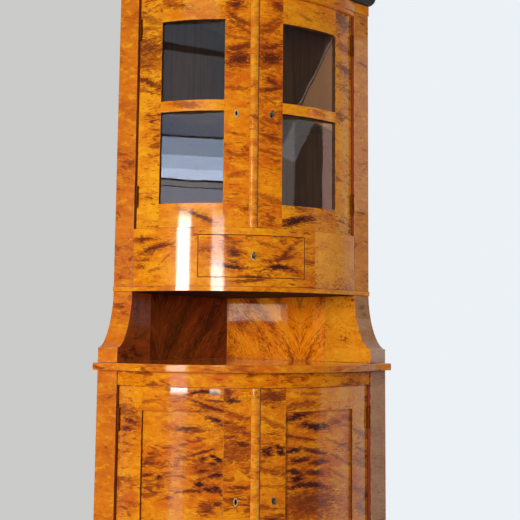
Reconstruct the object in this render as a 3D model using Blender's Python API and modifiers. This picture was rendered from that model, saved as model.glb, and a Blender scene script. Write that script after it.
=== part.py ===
"""Bow-fronted corner cabinet in flame birch, in two storeys.

The walls of the room's corner run back at 45 degrees and meet behind the cabinet on the
plane x = 0. Each storey's front is a bow between two canted, flat pilasters, whose outer
edges touch the walls. The base has a pair of curved panelled doors under a slab. The upper
storey stands on flared cheeks over an open niche, and has a drawer in its apron, a pair of
curved glazed doors, a frieze and an ebonised cornice.

Metres, +Z up, +X right, front towards -Y, floor at z = 0, origin under the middle of the box.
"""
import math
from dataclasses import dataclass

import bmesh
import bpy
import numpy as np
from mathutils import Matrix, Vector

# Clearances
GAP = 0.0003             # between pieces that touch or are glued
PLAY = 0.001             # running clearance round doors and drawer
WELD = 1e-6              # points closer than this are one

# Carcass boards
BACK_BOARD = 0.015
POST_DEPTH = 0.038       # of a pilaster post, square to the bow
POST_CHEEK = 0.022       # of the post along the wall, in front of the back board
SHELF = 0.016
GROOVE = 0.005           # depth of the shelves' grooves in the back boards
SHELF_SETBACK = 0.016    # of a shelf behind the doors' backs
SHELF_CLEAR = 0.003      # between a shelf and the post beside it

# Base storey, from the floor up
PLINTH_HEIGHT = 0.070
PLINTH_BOARD = 0.020
BOTTOM_BOARD = 0.018
BASE_DOOR_HEIGHT = 0.6705
BASE_RAIL_HEIGHT = 0.0445
BASE_RAIL_BOARD = 0.022
BASE_RAIL_SETBACK = 0.003
SLAB = 0.023
SLAB_OVERHANG = 0.021
SLAB_ROUNDING = 0.003
SLAB_CORNER = math.radians(60)  # edges sharper than this are rounded
BASE_SHELF_RISE = 0.250  # above the bottom board

# Upper storey, from the slab up
NICHE_HEIGHT = 0.2221
FOOT_BLOCK = 0.045       # straight foot of the cheeks
CHEEK_SIDE = 0.018       # thickness of a cheek's side
CHEEK_REACH = 0.438      # along the wall, from the corner to the cheek's side
FLARE_POWER = 1.8        # roundness of the cheeks' flare
FLARE_RINGS = 12
FLARE_SPACING = 1.5      # gathers the rings towards the foot, where the flare turns most
SOFFIT = 0.015
SOFFIT_OVERHANG = 0.003
APRON_HEIGHT = 0.1837
APRON_BOARD = 0.020
DECK = 0.020
UPPER_DOOR_HEIGHT = 0.757
UPPER_SHELF_RISE = 0.382  # above the deck
RAIL_HEIGHT = 0.014
FRIEZE_HEIGHT = 0.034
FRIEZE_BOARD = 0.022
FRIEZE_OVERHANG = 0.003
TOP_BOARD = 0.018
TOP_LAP = 0.011          # of the top board on the frieze
CORNICE_HEIGHT = 0.042
CORNICE_OVERHANG = 0.024
CORNICE_RINGS = 10

# Doors
DOOR = 0.024
REVEAL = 0.012           # doors stand back this far behind the pilasters' inner edges
BEAD_WIDTH = 0.027
BEAD_PROUD = 0.009
BEAD_SHOULDER = 0.00225  # square edge beside the bead's round
BEAD_STEPS = 12
REBATE = 0.008
PANEL_INNER = 0.094      # opening's inner edge, from the middle
PANEL_STILE = 0.0765     # across the front, from the opening to the pilaster
PANEL_TOP_RAIL = 0.072
PANEL_BOTTOM_RAIL = 0.085
PANEL = 0.008
PANEL_SETBACK = 0.008
GLASS_INNER = 0.0945
GLASS_STILE = 0.076
GLASS_TOP_RAIL = 0.088
GLASS_BOTTOM_RAIL = 0.077
GLAZING_BAR = 0.036
GLAZING_BAR_RISE = 0.371  # above the door's foot
PANE = 0.003
PANE_SETBACK = 0.009

# Drawer
DRAWER_WIDTH = 0.340     # of the opening
DRAWER_OPENING_RISE = 0.0275
DRAWER_OPENING_HEIGHT = 0.1327
DRAWER_FRONT = 0.020
DRAWER_SIDE = 0.009
DRAWER_SIDE_INSET = 0.0045
DRAWER_SIDE_DROP = 0.006  # of the sides' top under the front's top
DRAWER_BOTTOM = 0.006
DRAWER_BOTTOM_RISE = 0.003
DRAWER_BACK_CLEARANCE = 0.015
RUNNER_LEDGE = 0.014     # under the drawer's side
RUNNER_LIP = 0.009
RUNNER_LIP_HEIGHT = 0.014

# Hinges
HINGE_LENGTH = 0.070
HINGE_RADIUS = 0.0045
HINGE_INSET = 0.103      # from a door's end to the middle of its hinge
HINGE_OUT = HINGE_RADIUS + 0.0015  # pin in front of the door's face
HINGE_IN = HINGE_RADIUS + 0.0005   # pin off the pilaster's reveal
HINGE_LEAF = 0.0015
KNUCKLE_GROOVE = 0.0005

# Locks, keys and escutcheons
KEYHOLE_X = 0.056
BASE_KEYHOLE_RISE = 0.3437   # above the door's foot
UPPER_KEYHOLE_RISE = 0.365
DRAWER_KEYHOLE_RISE = 0.0682  # above the drawer front's foot
ESCUTCHEON_WIDTH = 0.0135
ESCUTCHEON_HEIGHT = 0.0245
ESCUTCHEON = 0.0014
KEYHOLE_RADIUS = 0.0033
KEYHOLE_SLOT = 0.0032
KEYHOLE_DROP = 0.0088
LOCK_CASE = 0.009
LOCK_FLOOR = 0.002
LOCK_TAIL = 0.022        # of the case, from the key away from the bolt's end
LOCK_BELOW = 0.018
LOCK_ABOVE = 0.032
LOCK_END = 0.0045        # of a door's lock case, short of the split
WARD_RADIUS = 0.0105
BOLT_RISE = 0.0205       # of the bolt's middle above the key
BOLT_HEIGHT = 0.012
BOLT = 0.004
BOLT_THROW = 0.008
KEY_RADIUS = 0.0023
KEY_OUT = 0.012          # shank in front of the door
KEY_BOW = 0.007
KEY_BOW_STRETCH = 1.25   # of the bow's height on its length
KEY_BOW_WIRE = 0.0017
BIT_REACH = 0.0085
BIT_WIDTH = 0.003
BIT_LENGTH = 0.0045

# Facets
BOW_STEPS = 16           # facets of half a bow
FRONT_STEPS = 16         # of half a slab's or cornice's bow
ROUND_SIDES = 16
PLATE_SIDES = 20
HINGE_SIDES = 12
CUTTER_REACH = 0.050     # how far a cutter passes the faces that it cuts

# Colours as linear red, green and blue, with roughness and metallic value
FLAME_BIRCH = ((0.58, 0.20, 0.025), 0.22, 0.0)
BIRCH_SHADE = ((0.34, 0.11, 0.025), 0.45, 0.0)
PINE = ((0.42, 0.25, 0.11), 0.70, 0.0)
EBONISED = ((0.022, 0.024, 0.022), 0.30, 0.0)
GLASS = ((0.55, 0.60, 0.60), 0.05, 0.0)
BRASS = ((0.72, 0.58, 0.34), 0.32, 1.0)
IRON = ((0.16, 0.14, 0.12), 0.50, 0.9)


@dataclass(frozen=True)
class Storey:
    """Plan of one storey's front: a bow between two canted pilaster faces."""

    wall_reach: float  # along the wall, from the corner to the pilaster's outer edge
    face_width: float  # of the pilaster
    sag: float         # how far the bow swells in front of the pilasters' inner edges
    cant: float        # angle at which the pilaster's face recedes

    @property
    def inner_x(self):
        """The pilaster's inner front edge, from the middle."""
        return self.wall_reach / math.sqrt(2) - self.face_width * math.cos(self.cant)

    @property
    def inner_depth(self):
        """The same edge, in front of the room's corner."""
        return self.wall_reach / math.sqrt(2) + self.face_width * math.sin(self.cant)

    @property
    def radius(self):
        return (self.inner_x ** 2 + self.sag ** 2) / (2 * self.sag)

    @property
    def centre(self):
        return Vector((0.0, CORNER_Y - self.inner_depth - self.sag + self.radius))

    @property
    def end_angle(self):
        return math.asin(self.inner_x / self.radius)

    @property
    def radial(self):
        """Direction of the right reveal, outwards."""
        return Vector((math.sin(self.end_angle), -math.cos(self.end_angle)))

    @property
    def inward(self):
        """Direction off the right reveal, towards the middle."""
        return Vector((-math.cos(self.end_angle), -math.sin(self.end_angle)))

    @property
    def face(self):
        """Direction along the right pilaster's face, outwards."""
        return Vector((math.cos(self.cant), math.sin(self.cant)))

    @property
    def face_back(self):
        """Direction square to that face, backwards."""
        return Vector((-math.sin(self.cant), math.cos(self.cant)))

    @property
    def inner_edge(self):
        return self.centre + self.radius * self.radial

    @property
    def outer_edge(self):
        return wall(self.wall_reach, 0)

    @property
    def board_reach(self):
        """Distance from the corner to the back board's front end."""
        return self.wall_reach - POST_CHEEK - GAP

    def bow(self, offset, x_from, x_to):
        """Points of the faceted bow, set outwards by offset, between two values of x."""
        radius = self.radius + offset
        angles = np.linspace(-self.end_angle, self.end_angle, 2 * BOW_STEPS + 1)
        xs = radius * np.sin(angles)
        ys = self.centre.y - radius * np.cos(angles)
        inner = xs[(xs > x_from + WELD) & (xs < x_to - WELD)]
        return [Vector((x, float(np.interp(x, xs, ys)))) for x in (x_from, *inner, x_to)]

    def edge_x(self, offset, clearance):
        """Where a piece on the bow stops, short of the right pilaster's reveal."""
        return (self.radius + offset) * math.sin(self.end_angle) \
            - clearance * math.cos(self.end_angle)

    def ray(self, x, offset, out):
        """A point at another offset on the radius that meets the bow at x and offset."""
        angle = math.asin(x / (self.radius + offset))
        return self.centre + (self.radius + out) * Vector((math.sin(angle), -math.cos(angle)))

    def front_line(self, offset):
        """Right half of the front's outline, set outwards by offset: bow, then canted face."""
        reach = self.radius * math.cos(self.end_angle - self.cant) + offset
        join = self.cant + math.acos(reach / (self.radius + offset))
        angles = np.linspace(0, join, FRONT_STEPS + 1)
        points = [self.centre + (self.radius + offset) * Vector((math.sin(a), -math.cos(a)))
                  for a in angles]
        return points + [meet(points[-1], self.face, wall(0, 0), WALL_OUT)]

    def leaf(self, front, thickness, left, right):
        """Outline of a curved board; left and right give its ends' x at an offset."""
        back = front - thickness
        return self.bow(front, left(front), right(front)) \
            + self.bow(back, left(back), right(back))[::-1]


def meet(p, u, q, v):
    """Where the line through p along u meets the line through q along v."""
    across = u.x * v.y - u.y * v.x
    gap = q - p
    return p + u * ((gap.x * v.y - gap.y * v.x) / across)


def wall(along, inward):
    """A point by the right wall: its distance from the corner, and inwards from the wall."""
    return Vector((0.0, CORNER_Y)) + along * WALL_OUT + inward * WALL_IN


def mirrored(points):
    return [Vector((-p.x, p.y)) for p in reversed(points)]


def whole(right):
    """An outline from its right half, which starts and ends on the middle plane."""
    return right + [p for p in mirrored(right) if p.x < -WELD]


def band(front, rear):
    """Outline of a strip from wall to wall, from the right halves of its two long sides."""
    return mirrored(front)[:-1] + front + (mirrored(rear)[:-1] + rear)[::-1]


def notched(storey, rear):
    """A strip's right rear side, stepped round the end of the back board."""
    end = storey.wall_reach - POST_CHEEK
    by_board = meet(rear[-2], storey.face, wall(0, BACK_BOARD + GAP), WALL_OUT)
    return rear[:-1] + [by_board, wall(end, BACK_BOARD + GAP), wall(end, 0)]


WALL_OUT = Vector((1, -1)).normalized()
WALL_IN = Vector((-1, -1)).normalized()
BASE = Storey(wall_reach=0.6588, face_width=0.0655, sag=0.165, cant=math.radians(25))
UPPER = Storey(wall_reach=0.5984, face_width=0.0636, sag=0.127, cant=math.radians(24))
CORNER_Y = (BASE.inner_depth + BASE.sag + SLAB_OVERHANG) / 2

# Levels, each the bottom of what it names
BOTTOM_Z = PLINTH_HEIGHT + GAP
BASE_DOOR_Z = BOTTOM_Z + BOTTOM_BOARD + PLAY
BASE_RAIL_Z = BASE_DOOR_Z + BASE_DOOR_HEIGHT + PLAY
BASE_TOP = BASE_RAIL_Z + BASE_RAIL_HEIGHT
SLAB_Z = BASE_TOP + GAP
NICHE_Z = SLAB_Z + SLAB
SOFFIT_Z = NICHE_Z + NICHE_HEIGHT + GAP
APRON_Z = SOFFIT_Z + SOFFIT + GAP
APRON_TOP = APRON_Z + APRON_HEIGHT
UPPER_DOOR_Z = APRON_TOP + PLAY
RAIL_Z = UPPER_DOOR_Z + UPPER_DOOR_HEIGHT + PLAY
FRIEZE_Z = RAIL_Z + RAIL_HEIGHT
CORNICE_Z = FRIEZE_Z + FRIEZE_HEIGHT + GAP
DRAWER_OPENING_Z = APRON_Z + DRAWER_OPENING_RISE
DRAWER_Z = DRAWER_OPENING_Z + PLAY
DRAWER_HEIGHT = DRAWER_OPENING_HEIGHT - 2 * PLAY
DRAWER_HALF = DRAWER_WIDTH / 2 - PLAY
BASE_KEYHOLE_Z = BASE_DOOR_Z + BASE_KEYHOLE_RISE
UPPER_KEYHOLE_Z = UPPER_DOOR_Z + UPPER_KEYHOLE_RISE
DRAWER_KEYHOLE_Z = DRAWER_Z + DRAWER_KEYHOLE_RISE
SPLIT_X = BEAD_WIDTH / 2  # the doors meet along the bead's right edge

# From the key to the bolt's end of the lock's case
DOOR_LOCK_REACH = KEYHOLE_X - SPLIT_X - LOCK_END
DRAWER_LOCK_REACH = DRAWER_HEIGHT - DRAWER_KEYHOLE_RISE - PLAY


def clear_scene():
    for obj in list(bpy.data.objects):
        bpy.data.objects.remove(obj, do_unlink=True)


def collection(name):
    made = bpy.data.collections.new(name)
    bpy.context.scene.collection.children.link(made)
    return made


def finish(obj, look):
    colour, roughness, metallic = look
    material = bpy.data.materials.new(obj.name)
    material.use_nodes = True
    shader = material.node_tree.nodes["Principled BSDF"]
    shader.inputs["Base Color"].default_value = (*colour, 1.0)
    shader.inputs["Roughness"].default_value = roughness
    shader.inputs["Metallic"].default_value = metallic
    material.diffuse_color = (*colour, 1.0)
    obj.data.materials.clear()
    obj.data.materials.append(material)


def as_part(obj, look):
    """Put an object among the cabinet's parts, with a material of its own."""
    for holder in list(obj.users_collection):
        holder.objects.unlink(obj)
    PARTS.objects.link(obj)
    finish(obj, look)
    return obj


def as_guide(obj):
    """Put an object among the cutters and joined shapes, which the model leaves out."""
    for holder in list(obj.users_collection):
        holder.objects.unlink(obj)
    CUTTERS.objects.link(obj)
    obj.hide_render = True
    obj.display_type = "WIRE"
    return obj


def mesh_object(name, mesh):
    obj = bpy.data.objects.new(name, mesh)
    bpy.context.scene.collection.objects.link(obj)
    return obj


def prism(name, outline, low, high):
    """A flat outline in plan, filled and raised from one level to another."""
    curve = bpy.data.curves.new(name, "CURVE")
    curve.dimensions = "2D"
    curve.fill_mode = "BOTH"
    curve.extrude = (high - low) / 2
    spline = curve.splines.new("POLY")
    spline.points.add(len(outline) - 1)
    for point, (x, y) in zip(spline.points, outline):
        point.co = (x, y, 0, 1)
    spline.use_cyclic_u = True
    flat = bpy.data.objects.new(name + "_outline", curve)
    bpy.context.scene.collection.objects.link(flat)
    flat.location.z = (low + high) / 2
    return solid_from_curve(name, flat)


def solid_from_curve(name, source):
    """A welded mesh object in place of a curve object."""
    bpy.context.view_layer.update()
    evaluated = source.evaluated_get(bpy.context.evaluated_depsgraph_get())
    mesh = bpy.data.meshes.new_from_object(evaluated)
    mesh.name = name
    shape = bmesh.new()
    shape.from_mesh(mesh)
    bmesh.ops.remove_doubles(shape, verts=shape.verts, dist=WELD)
    bmesh.ops.recalc_face_normals(shape, faces=shape.faces)
    shape.to_mesh(mesh)
    shape.free()
    obj = mesh_object(name, mesh)
    obj.matrix_world = source.matrix_world
    bpy.data.objects.remove(source, do_unlink=True)
    return obj


def loft(name, rings):
    """A closed solid through rings of as many points each, from the lowest upwards."""
    shape = bmesh.new()
    layers = [[shape.verts.new(point) for point in ring] for ring in rings]
    for low, high in zip(layers, layers[1:]):
        for i, j in zip(range(len(low)), [*range(1, len(low)), 0]):
            shape.faces.new((low[i], low[j], high[j], high[i]))
    shape.faces.new(layers[0][::-1])
    shape.faces.new(layers[-1])
    bmesh.ops.recalc_face_normals(shape, faces=shape.faces)
    mesh = bpy.data.meshes.new(name)
    shape.to_mesh(mesh)
    shape.free()
    return mesh_object(name, mesh)


def block(name, low, high):
    """A box between two corners."""
    shape = bmesh.new()
    bmesh.ops.create_cube(shape, size=1.0)
    low, high = Vector(low), Vector(high)
    size = high - low
    place = Matrix.Translation((low + high) / 2) @ Matrix.Diagonal((*size, 1.0))
    bmesh.ops.transform(shape, matrix=place, verts=shape.verts)
    mesh = bpy.data.meshes.new(name)
    shape.to_mesh(mesh)
    shape.free()
    return mesh_object(name, mesh)


def rod(name, radius, start, end, sides=ROUND_SIDES, stretch=1.0):
    """A round or, stretched upwards, an oval bar along Y between two values of y."""
    shape = bmesh.new()
    bmesh.ops.create_cone(shape, cap_ends=True, segments=sides, radius1=radius,
                          radius2=radius, depth=end - start)
    turn = Matrix.Rotation(math.pi / 2, 4, "X")
    place = Matrix.Translation((0, (start + end) / 2, 0)) @ Matrix.Diagonal((1, 1, stretch, 1))
    bmesh.ops.transform(shape, matrix=place @ turn, verts=shape.verts)
    mesh = bpy.data.meshes.new(name)
    shape.to_mesh(mesh)
    shape.free()
    return mesh_object(name, mesh)


def boolean(obj, operation, tools):
    for tool in tools:
        modifier = obj.modifiers.new(tool.name, "BOOLEAN")
        modifier.operation = operation
        modifier.solver = "EXACT"
        modifier.object = as_guide(tool)


def cut(obj, *tools):
    boolean(obj, "DIFFERENCE", tools)


def fuse(obj, *tools):
    boolean(obj, "UNION", tools)


def pivot(obj, point):
    """Put an object's origin on its joint's axis."""
    obj.data.transform(Matrix.Translation(-Vector(point)) @ obj.matrix_world)
    obj.matrix_world = Matrix.Translation(point)


def carry(parent, *children):
    bpy.context.view_layer.update()
    for child in children:
        child.parent = parent
        child.matrix_parent_inverse = parent.matrix_world.inverted()


def post_corners(storey):
    """Back corners of the right post: by the reveal, and by the back board."""
    by_reveal = storey.centre + (storey.radius - POST_DEPTH) * storey.radial
    by_wall = meet(by_reveal, storey.face, wall(0, BACK_BOARD + GAP), WALL_OUT)
    return by_reveal, by_wall


def post_outline(storey):
    """Right pilaster post: canted face, reveal, back, and a notch for the back board."""
    by_reveal, by_wall = post_corners(storey)
    notch = storey.wall_reach - POST_CHEEK
    return [storey.outer_edge, storey.inner_edge, by_reveal, by_wall,
            wall(notch, BACK_BOARD + GAP), wall(notch, 0)]


def back_outline(storey):
    """Right back board, mitred in the corner."""
    half = GAP / 2
    reach = storey.board_reach
    tip = half * math.sqrt(2)
    return [wall(tip, 0), wall(reach, 0), wall(reach, BACK_BOARD),
            wall(BACK_BOARD + tip, BACK_BOARD)]


def inner_board(storey, front):
    """A board between the posts and the back boards, with its front on the bow."""
    by_reveal = post_corners(storey)[0]
    behind = by_reveal + GAP * storey.face_back
    notch = meet(by_reveal + GAP * storey.inward, storey.radial, behind, storey.face)
    at_wall = meet(behind, storey.face, wall(0, BACK_BOARD + GAP), WALL_OUT)
    corner = Vector((0, wall(0, 0).y - (BACK_BOARD + GAP) * math.sqrt(2)))
    return whole(storey.bow(front, 0, storey.edge_x(front, GAP)) + [notch, at_wall, corner])


def shelf_outline(storey, slack):
    """A shelf behind the doors, let into the back boards' grooves; slack makes it larger."""
    front = slack - REVEAL - DOOR - SHELF_SETBACK
    inset = BACK_BOARD - GROOVE + GAP - slack
    by_wall = post_corners(storey)[1]
    along = (by_wall - wall(0, 0)).dot(WALL_OUT) - SHELF_CLEAR + slack
    corner = Vector((0, wall(0, 0).y - inset * math.sqrt(2)))
    return whole(storey.bow(front, 0, storey.edge_x(front, GAP)) + [wall(along, inset), corner])


def pair(name, outline, low, high, look):
    """A right piece and its mirror image on the left."""
    right = as_part(prism(name + "_right", outline, low, high), look)
    left = as_part(prism(name + "_left", mirrored(outline), low, high), look)
    return left, right


def keyhole_frame(storey, front, x, z):
    """Place of a keyhole: on the face at x and z, with local -Y square out of the face."""
    angle = math.asin(x / (storey.radius + front))
    point = storey.ray(x, front, front)
    return Matrix.Translation((point.x, point.y, z)) @ Matrix.Rotation(angle, 4, "Z")


def keyhole_cutters(name, frame, depth):
    """A round hole for the key's shank, and a slot below it for the bit."""
    hole = rod(name + "_hole", KEYHOLE_RADIUS, -depth, depth)
    slot = block(name + "_slot", (-KEYHOLE_SLOT / 2, -depth, -KEYHOLE_DROP),
                 (KEYHOLE_SLOT / 2, depth, 0))
    for tool in (hole, slot):
        tool.matrix_world = frame
    return hole, slot


def escutcheon(name, frame):
    """An oval plate on the face, pierced by the keyhole."""
    plate = rod(name, ESCUTCHEON_WIDTH / 2, -GAP - ESCUTCHEON, -GAP, PLATE_SIDES,
                ESCUTCHEON_HEIGHT / ESCUTCHEON_WIDTH)
    plate.data.transform(Matrix.Translation((0, 0, (KEYHOLE_RADIUS - KEYHOLE_DROP) / 2)))
    plate.matrix_world = frame
    cut(plate, *keyhole_cutters(name, frame, DOOR))
    return as_part(plate, BRASS)


def lock(name, frame, seat, reach):
    """A lock's case with its ward for the key's bit and its channel, and its bolt.

    The frame's local +Y runs into the cabinet, and the bolt is thrown along local -X.
    """
    case = block(name, (-reach, seat, -LOCK_BELOW), (LOCK_TAIL, seat + LOCK_CASE, LOCK_ABOVE))
    floor = seat + LOCK_CASE - LOCK_FLOOR
    ward = rod(name + "_ward", WARD_RADIUS, seat - LOCK_FLOOR, floor)
    low = BOLT_RISE - BOLT_HEIGHT / 2
    bolt_y = floor - BOLT
    channel = block(name + "_channel", (-reach - LOCK_FLOOR, seat - LOCK_FLOOR, low - GAP),
                    (GAP, floor, low + BOLT_HEIGHT + GAP))
    bolt = block(name + "_bolt", (-reach - GAP, bolt_y - GAP, low),
                 (0, floor - GAP, low + BOLT_HEIGHT))
    for piece in (case, ward, channel, bolt):
        piece.matrix_world = frame
    cut(case, ward, channel)
    return as_part(case, IRON), as_part(bolt, IRON)


def key(name, frame, seat):
    """A key with an oval bow, its shank along the frame's Y axis and its bit hanging down."""
    inner_end = seat + LOCK_CASE - LOCK_FLOOR - 2 * GAP
    made = rod(name, KEY_RADIUS, -KEY_OUT, inner_end, HINGE_SIDES)
    bit = block(name + "_bit", (-BIT_WIDTH / 2, inner_end - BIT_LENGTH, -BIT_REACH),
                (BIT_WIDTH / 2, inner_end - GAP, 0))
    ring = bpy.data.curves.new(name + "_ring", "CURVE")
    ring.dimensions = "3D"
    ring.bevel_depth = KEY_BOW_WIRE
    ring.bevel_resolution = 2
    spline = ring.splines.new("POLY")
    spline.points.add(ROUND_SIDES - 1)
    for point, turn in zip(spline.points, np.linspace(0, 2 * math.pi, ROUND_SIDES + 1)):
        out = KEY_OUT + KEY_BOW - KEY_BOW * math.cos(turn)
        point.co = (0, -out, KEY_BOW_STRETCH * KEY_BOW * math.sin(turn), 1)
    spline.use_cyclic_u = True
    loop = bpy.data.objects.new(name + "_ring", ring)
    bpy.context.scene.collection.objects.link(loop)
    bow = solid_from_curve(name + "_bow", loop)
    for piece in (made, bit, bow):
        piece.matrix_world = frame
    fuse(made, bit, bow)
    return as_part(made, IRON)


def hinge_point(storey, side):
    """Plan position of a door's pin: in the reveal, in front of the door's face."""
    point = storey.centre + (storey.radius - REVEAL + HINGE_OUT) * storey.radial \
        + HINGE_IN * storey.inward
    return Vector((side * point.x, point.y))


def hinge(name, storey, side, z):
    """A butt hinge's knuckles, and its leaf on the pilaster's reveal."""
    half = HINGE_LENGTH / 2
    third = HINGE_LENGTH / 6
    thin = HINGE_RADIUS - KNUCKLE_GROOVE
    profile = [(0, half), (thin, half), (HINGE_RADIUS, half - KNUCKLE_GROOVE)]
    for level in (third, -third):
        profile += [(HINGE_RADIUS, level + KNUCKLE_GROOVE), (thin, level),
                    (HINGE_RADIUS, level - KNUCKLE_GROOVE)]
    profile += [(HINGE_RADIUS, KNUCKLE_GROOVE - half), (thin, -half), (0, -half)]
    shape = bmesh.new()
    points = [shape.verts.new((x, 0, height)) for x, height in profile]
    for upper, lower in zip(points, points[1:]):
        shape.edges.new((upper, lower))
    mesh = bpy.data.meshes.new(name)
    shape.to_mesh(mesh)
    shape.free()
    knuckles = mesh_object(name, mesh)
    screw = knuckles.modifiers.new("turn", "SCREW")
    screw.steps = screw.render_steps = HINGE_SIDES
    screw.use_merge_vertices = True
    screw.merge_threshold = WELD
    leaf = block(name + "_leaf", (GAP - HINGE_IN, -HINGE_RADIUS, -half),
                 (GAP + HINGE_LEAF - HINGE_IN, HINGE_RADIUS, half))
    turn = math.pi + storey.end_angle if side > 0 else -storey.end_angle
    point = hinge_point(storey, side)
    place = Matrix.Translation((point.x, point.y, z)) @ Matrix.Rotation(turn, 4, "Z")
    knuckles.matrix_world = place
    leaf.matrix_world = place
    fuse(knuckles, leaf)
    return as_part(knuckles, BRASS)


def door_ends(storey, side):
    """The x of a door's left and right ends at an offset: by its pilaster, and at the split."""
    if side < 0:
        return lambda offset: -storey.edge_x(offset, PLAY), lambda offset: SPLIT_X
    return lambda offset: SPLIT_X + PLAY, lambda offset: storey.edge_x(offset, PLAY)


def opening_cutter(name, storey, side, inner, stile, low, high):
    """Cuts a door's opening, with sides square to the bow."""
    outer = storey.inner_x - stile
    out, deep = CUTTER_REACH - REVEAL, -CUTTER_REACH - REVEAL
    outline = [storey.ray(inner, -REVEAL, out), storey.ray(outer, -REVEAL, out),
               storey.ray(outer, -REVEAL, deep), storey.ray(inner, -REVEAL, deep)]
    return prism(name, outline if side > 0 else mirrored(outline), low, high)


def pane_outline(storey, side, setback, lap, depth):
    """A flat pane's outline behind the curved frame, lapping its opening's edges."""
    inner = storey.ray(GLASS_INNER, -REVEAL, -REVEAL)
    outer = storey.ray(storey.inner_x - GLASS_STILE, -REVEAL, -REVEAL)
    along = (outer - inner).normalized()
    back = Vector((-along.y, along.x))
    near, far = setback * back, (setback + depth) * back
    outline = [inner - lap * along + near, outer + lap * along + near,
               outer + lap * along + far, inner - lap * along + far]
    return outline if side > 0 else mirrored(outline)


def panel_ends(storey, side, slack):
    """Ends of a curved panel at an offset, lapping its opening's edges by slack."""
    def end(x, lap):
        angle = math.asin(x / (storey.radius - REVEAL)) + lap / storey.radius
        return lambda offset: (storey.radius + offset) * math.sin(angle)
    inner, outer = end(PANEL_INNER, -slack), end(storey.inner_x - PANEL_STILE, slack)
    if side > 0:
        return inner, outer
    return lambda offset: -outer(offset), lambda offset: -inner(offset)


def glazed_door(name, side):
    """A curved frame with a glazing bar, and two flat panes in rebates behind."""
    storey, foot = UPPER, UPPER_DOOR_Z
    frame = prism(name + "_frame", storey.leaf(-REVEAL, DOOR, *door_ends(storey, side)),
                  foot, foot + UPPER_DOOR_HEIGHT)
    bar = foot + GLAZING_BAR_RISE
    lights = {"lower": (foot + GLASS_BOTTOM_RAIL, bar),
              "upper": (bar + GLAZING_BAR, foot + UPPER_DOOR_HEIGHT - GLASS_TOP_RAIL)}
    panes = []
    for place, (low, high) in lights.items():
        light = opening_cutter(f"{name}_{place}_light", storey, side, GLASS_INNER,
                               GLASS_STILE, low, high)
        rebate = prism(f"{name}_{place}_rebate",
                       pane_outline(storey, side, PANE_SETBACK, REBATE, CUTTER_REACH),
                       low - REBATE, high + REBATE)
        cut(frame, light, rebate)
        lap = REBATE - GAP
        pane = prism(f"{name}_pane_{place}",
                     pane_outline(storey, side, PANE_SETBACK + GAP, lap, PANE),
                     low - lap, high + lap)
        panes.append(as_part(pane, GLASS))
    return as_part(frame, FLAME_BIRCH), panes


def panelled_door(name, side):
    """A curved frame, and a curved panel in a rebate behind."""
    storey, foot = BASE, BASE_DOOR_Z
    frame = prism(name + "_frame", storey.leaf(-REVEAL, DOOR, *door_ends(storey, side)),
                  foot, foot + BASE_DOOR_HEIGHT)
    low, high = foot + PANEL_BOTTOM_RAIL, foot + BASE_DOOR_HEIGHT - PANEL_TOP_RAIL
    opening = opening_cutter(name + "_opening", storey, side, PANEL_INNER, PANEL_STILE, low, high)
    face = -REVEAL - PANEL_SETBACK
    rebate = prism(name + "_rebate",
                   storey.leaf(face, CUTTER_REACH, *panel_ends(storey, side, REBATE)),
                   low - REBATE, high + REBATE)
    cut(frame, opening, rebate)
    lap = REBATE - GAP
    panel = prism(name + "_panel",
                  storey.leaf(face - GAP, PANEL, *panel_ends(storey, side, lap)),
                  low - lap, high + lap)
    return as_part(frame, FLAME_BIRCH), as_part(panel, FLAME_BIRCH)


def bead(name, storey, foot, height):
    """A half-round bead on the left door's meeting edge, centred on the pair."""
    base = storey.bow(GAP - REVEAL, -BEAD_WIDTH / 2, BEAD_WIDTH / 2)
    face = storey.centre.y - storey.radius + REVEAL
    crown = [Vector((BEAD_WIDTH / 2 * math.cos(turn), face - BEAD_PROUD * math.sin(turn)))
             for turn in np.linspace(0, math.pi, BEAD_STEPS + 1)]
    shoulders = [Vector((side * BEAD_WIDTH / 2, face - BEAD_SHOULDER)) for side in (1, -1)]
    inner = [p for p in crown if p.y < shoulders[0].y - GAP]
    outline = base + shoulders[:1] + inner + shoulders[1:]
    return as_part(prism(name, outline, foot, foot + height), FLAME_BIRCH)


def lock_seat(storey, frame, front, thickness, reach):
    """Depth at which a flat case touches the hollow back of a bowed board."""
    towards = frame.inverted()
    middle = frame.translation.x
    back = storey.bow(front - thickness, middle - reach, middle + LOCK_TAIL)
    return max((towards @ p.to_3d()).y for p in back) + GAP


def door_locks(prefix, storey, foot, rise, doors):
    """Keyholes and escutcheons on both doors, and the right door's lock, bolt and key."""
    placed = {}
    for side, frame_obj in zip((-1, 1), doors):
        where = "right" if side > 0 else "left"
        frame = keyhole_frame(storey, -REVEAL, side * KEYHOLE_X, foot + rise)
        placed[side] = [escutcheon(f"{prefix}_escutcheon_{where}", frame)]
        cut(frame_obj, *keyhole_cutters(f"{prefix}_door_{where}_keyhole", frame, 2 * DOOR))
    seat = lock_seat(storey, frame, -REVEAL, DOOR, DOOR_LOCK_REACH)
    case, bolt = lock(f"{prefix}_lock", frame, seat, DOOR_LOCK_REACH)
    placed[1] += [case, bolt, key(f"{prefix}_key", frame, seat)]
    return placed


def hang(storey, side, foot, height, prefix, frame, riders):
    """Two hinges beside a door, and the door's origin on their pin."""
    for place, z in (("upper", foot + height - HINGE_INSET), ("lower", foot + HINGE_INSET)):
        hinge(f"{prefix}_hinge_{place}", storey, side, z)
    point = hinge_point(storey, side)
    pivot(frame, (point.x, point.y, foot + height / 2))
    carry(frame, *riders)


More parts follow.
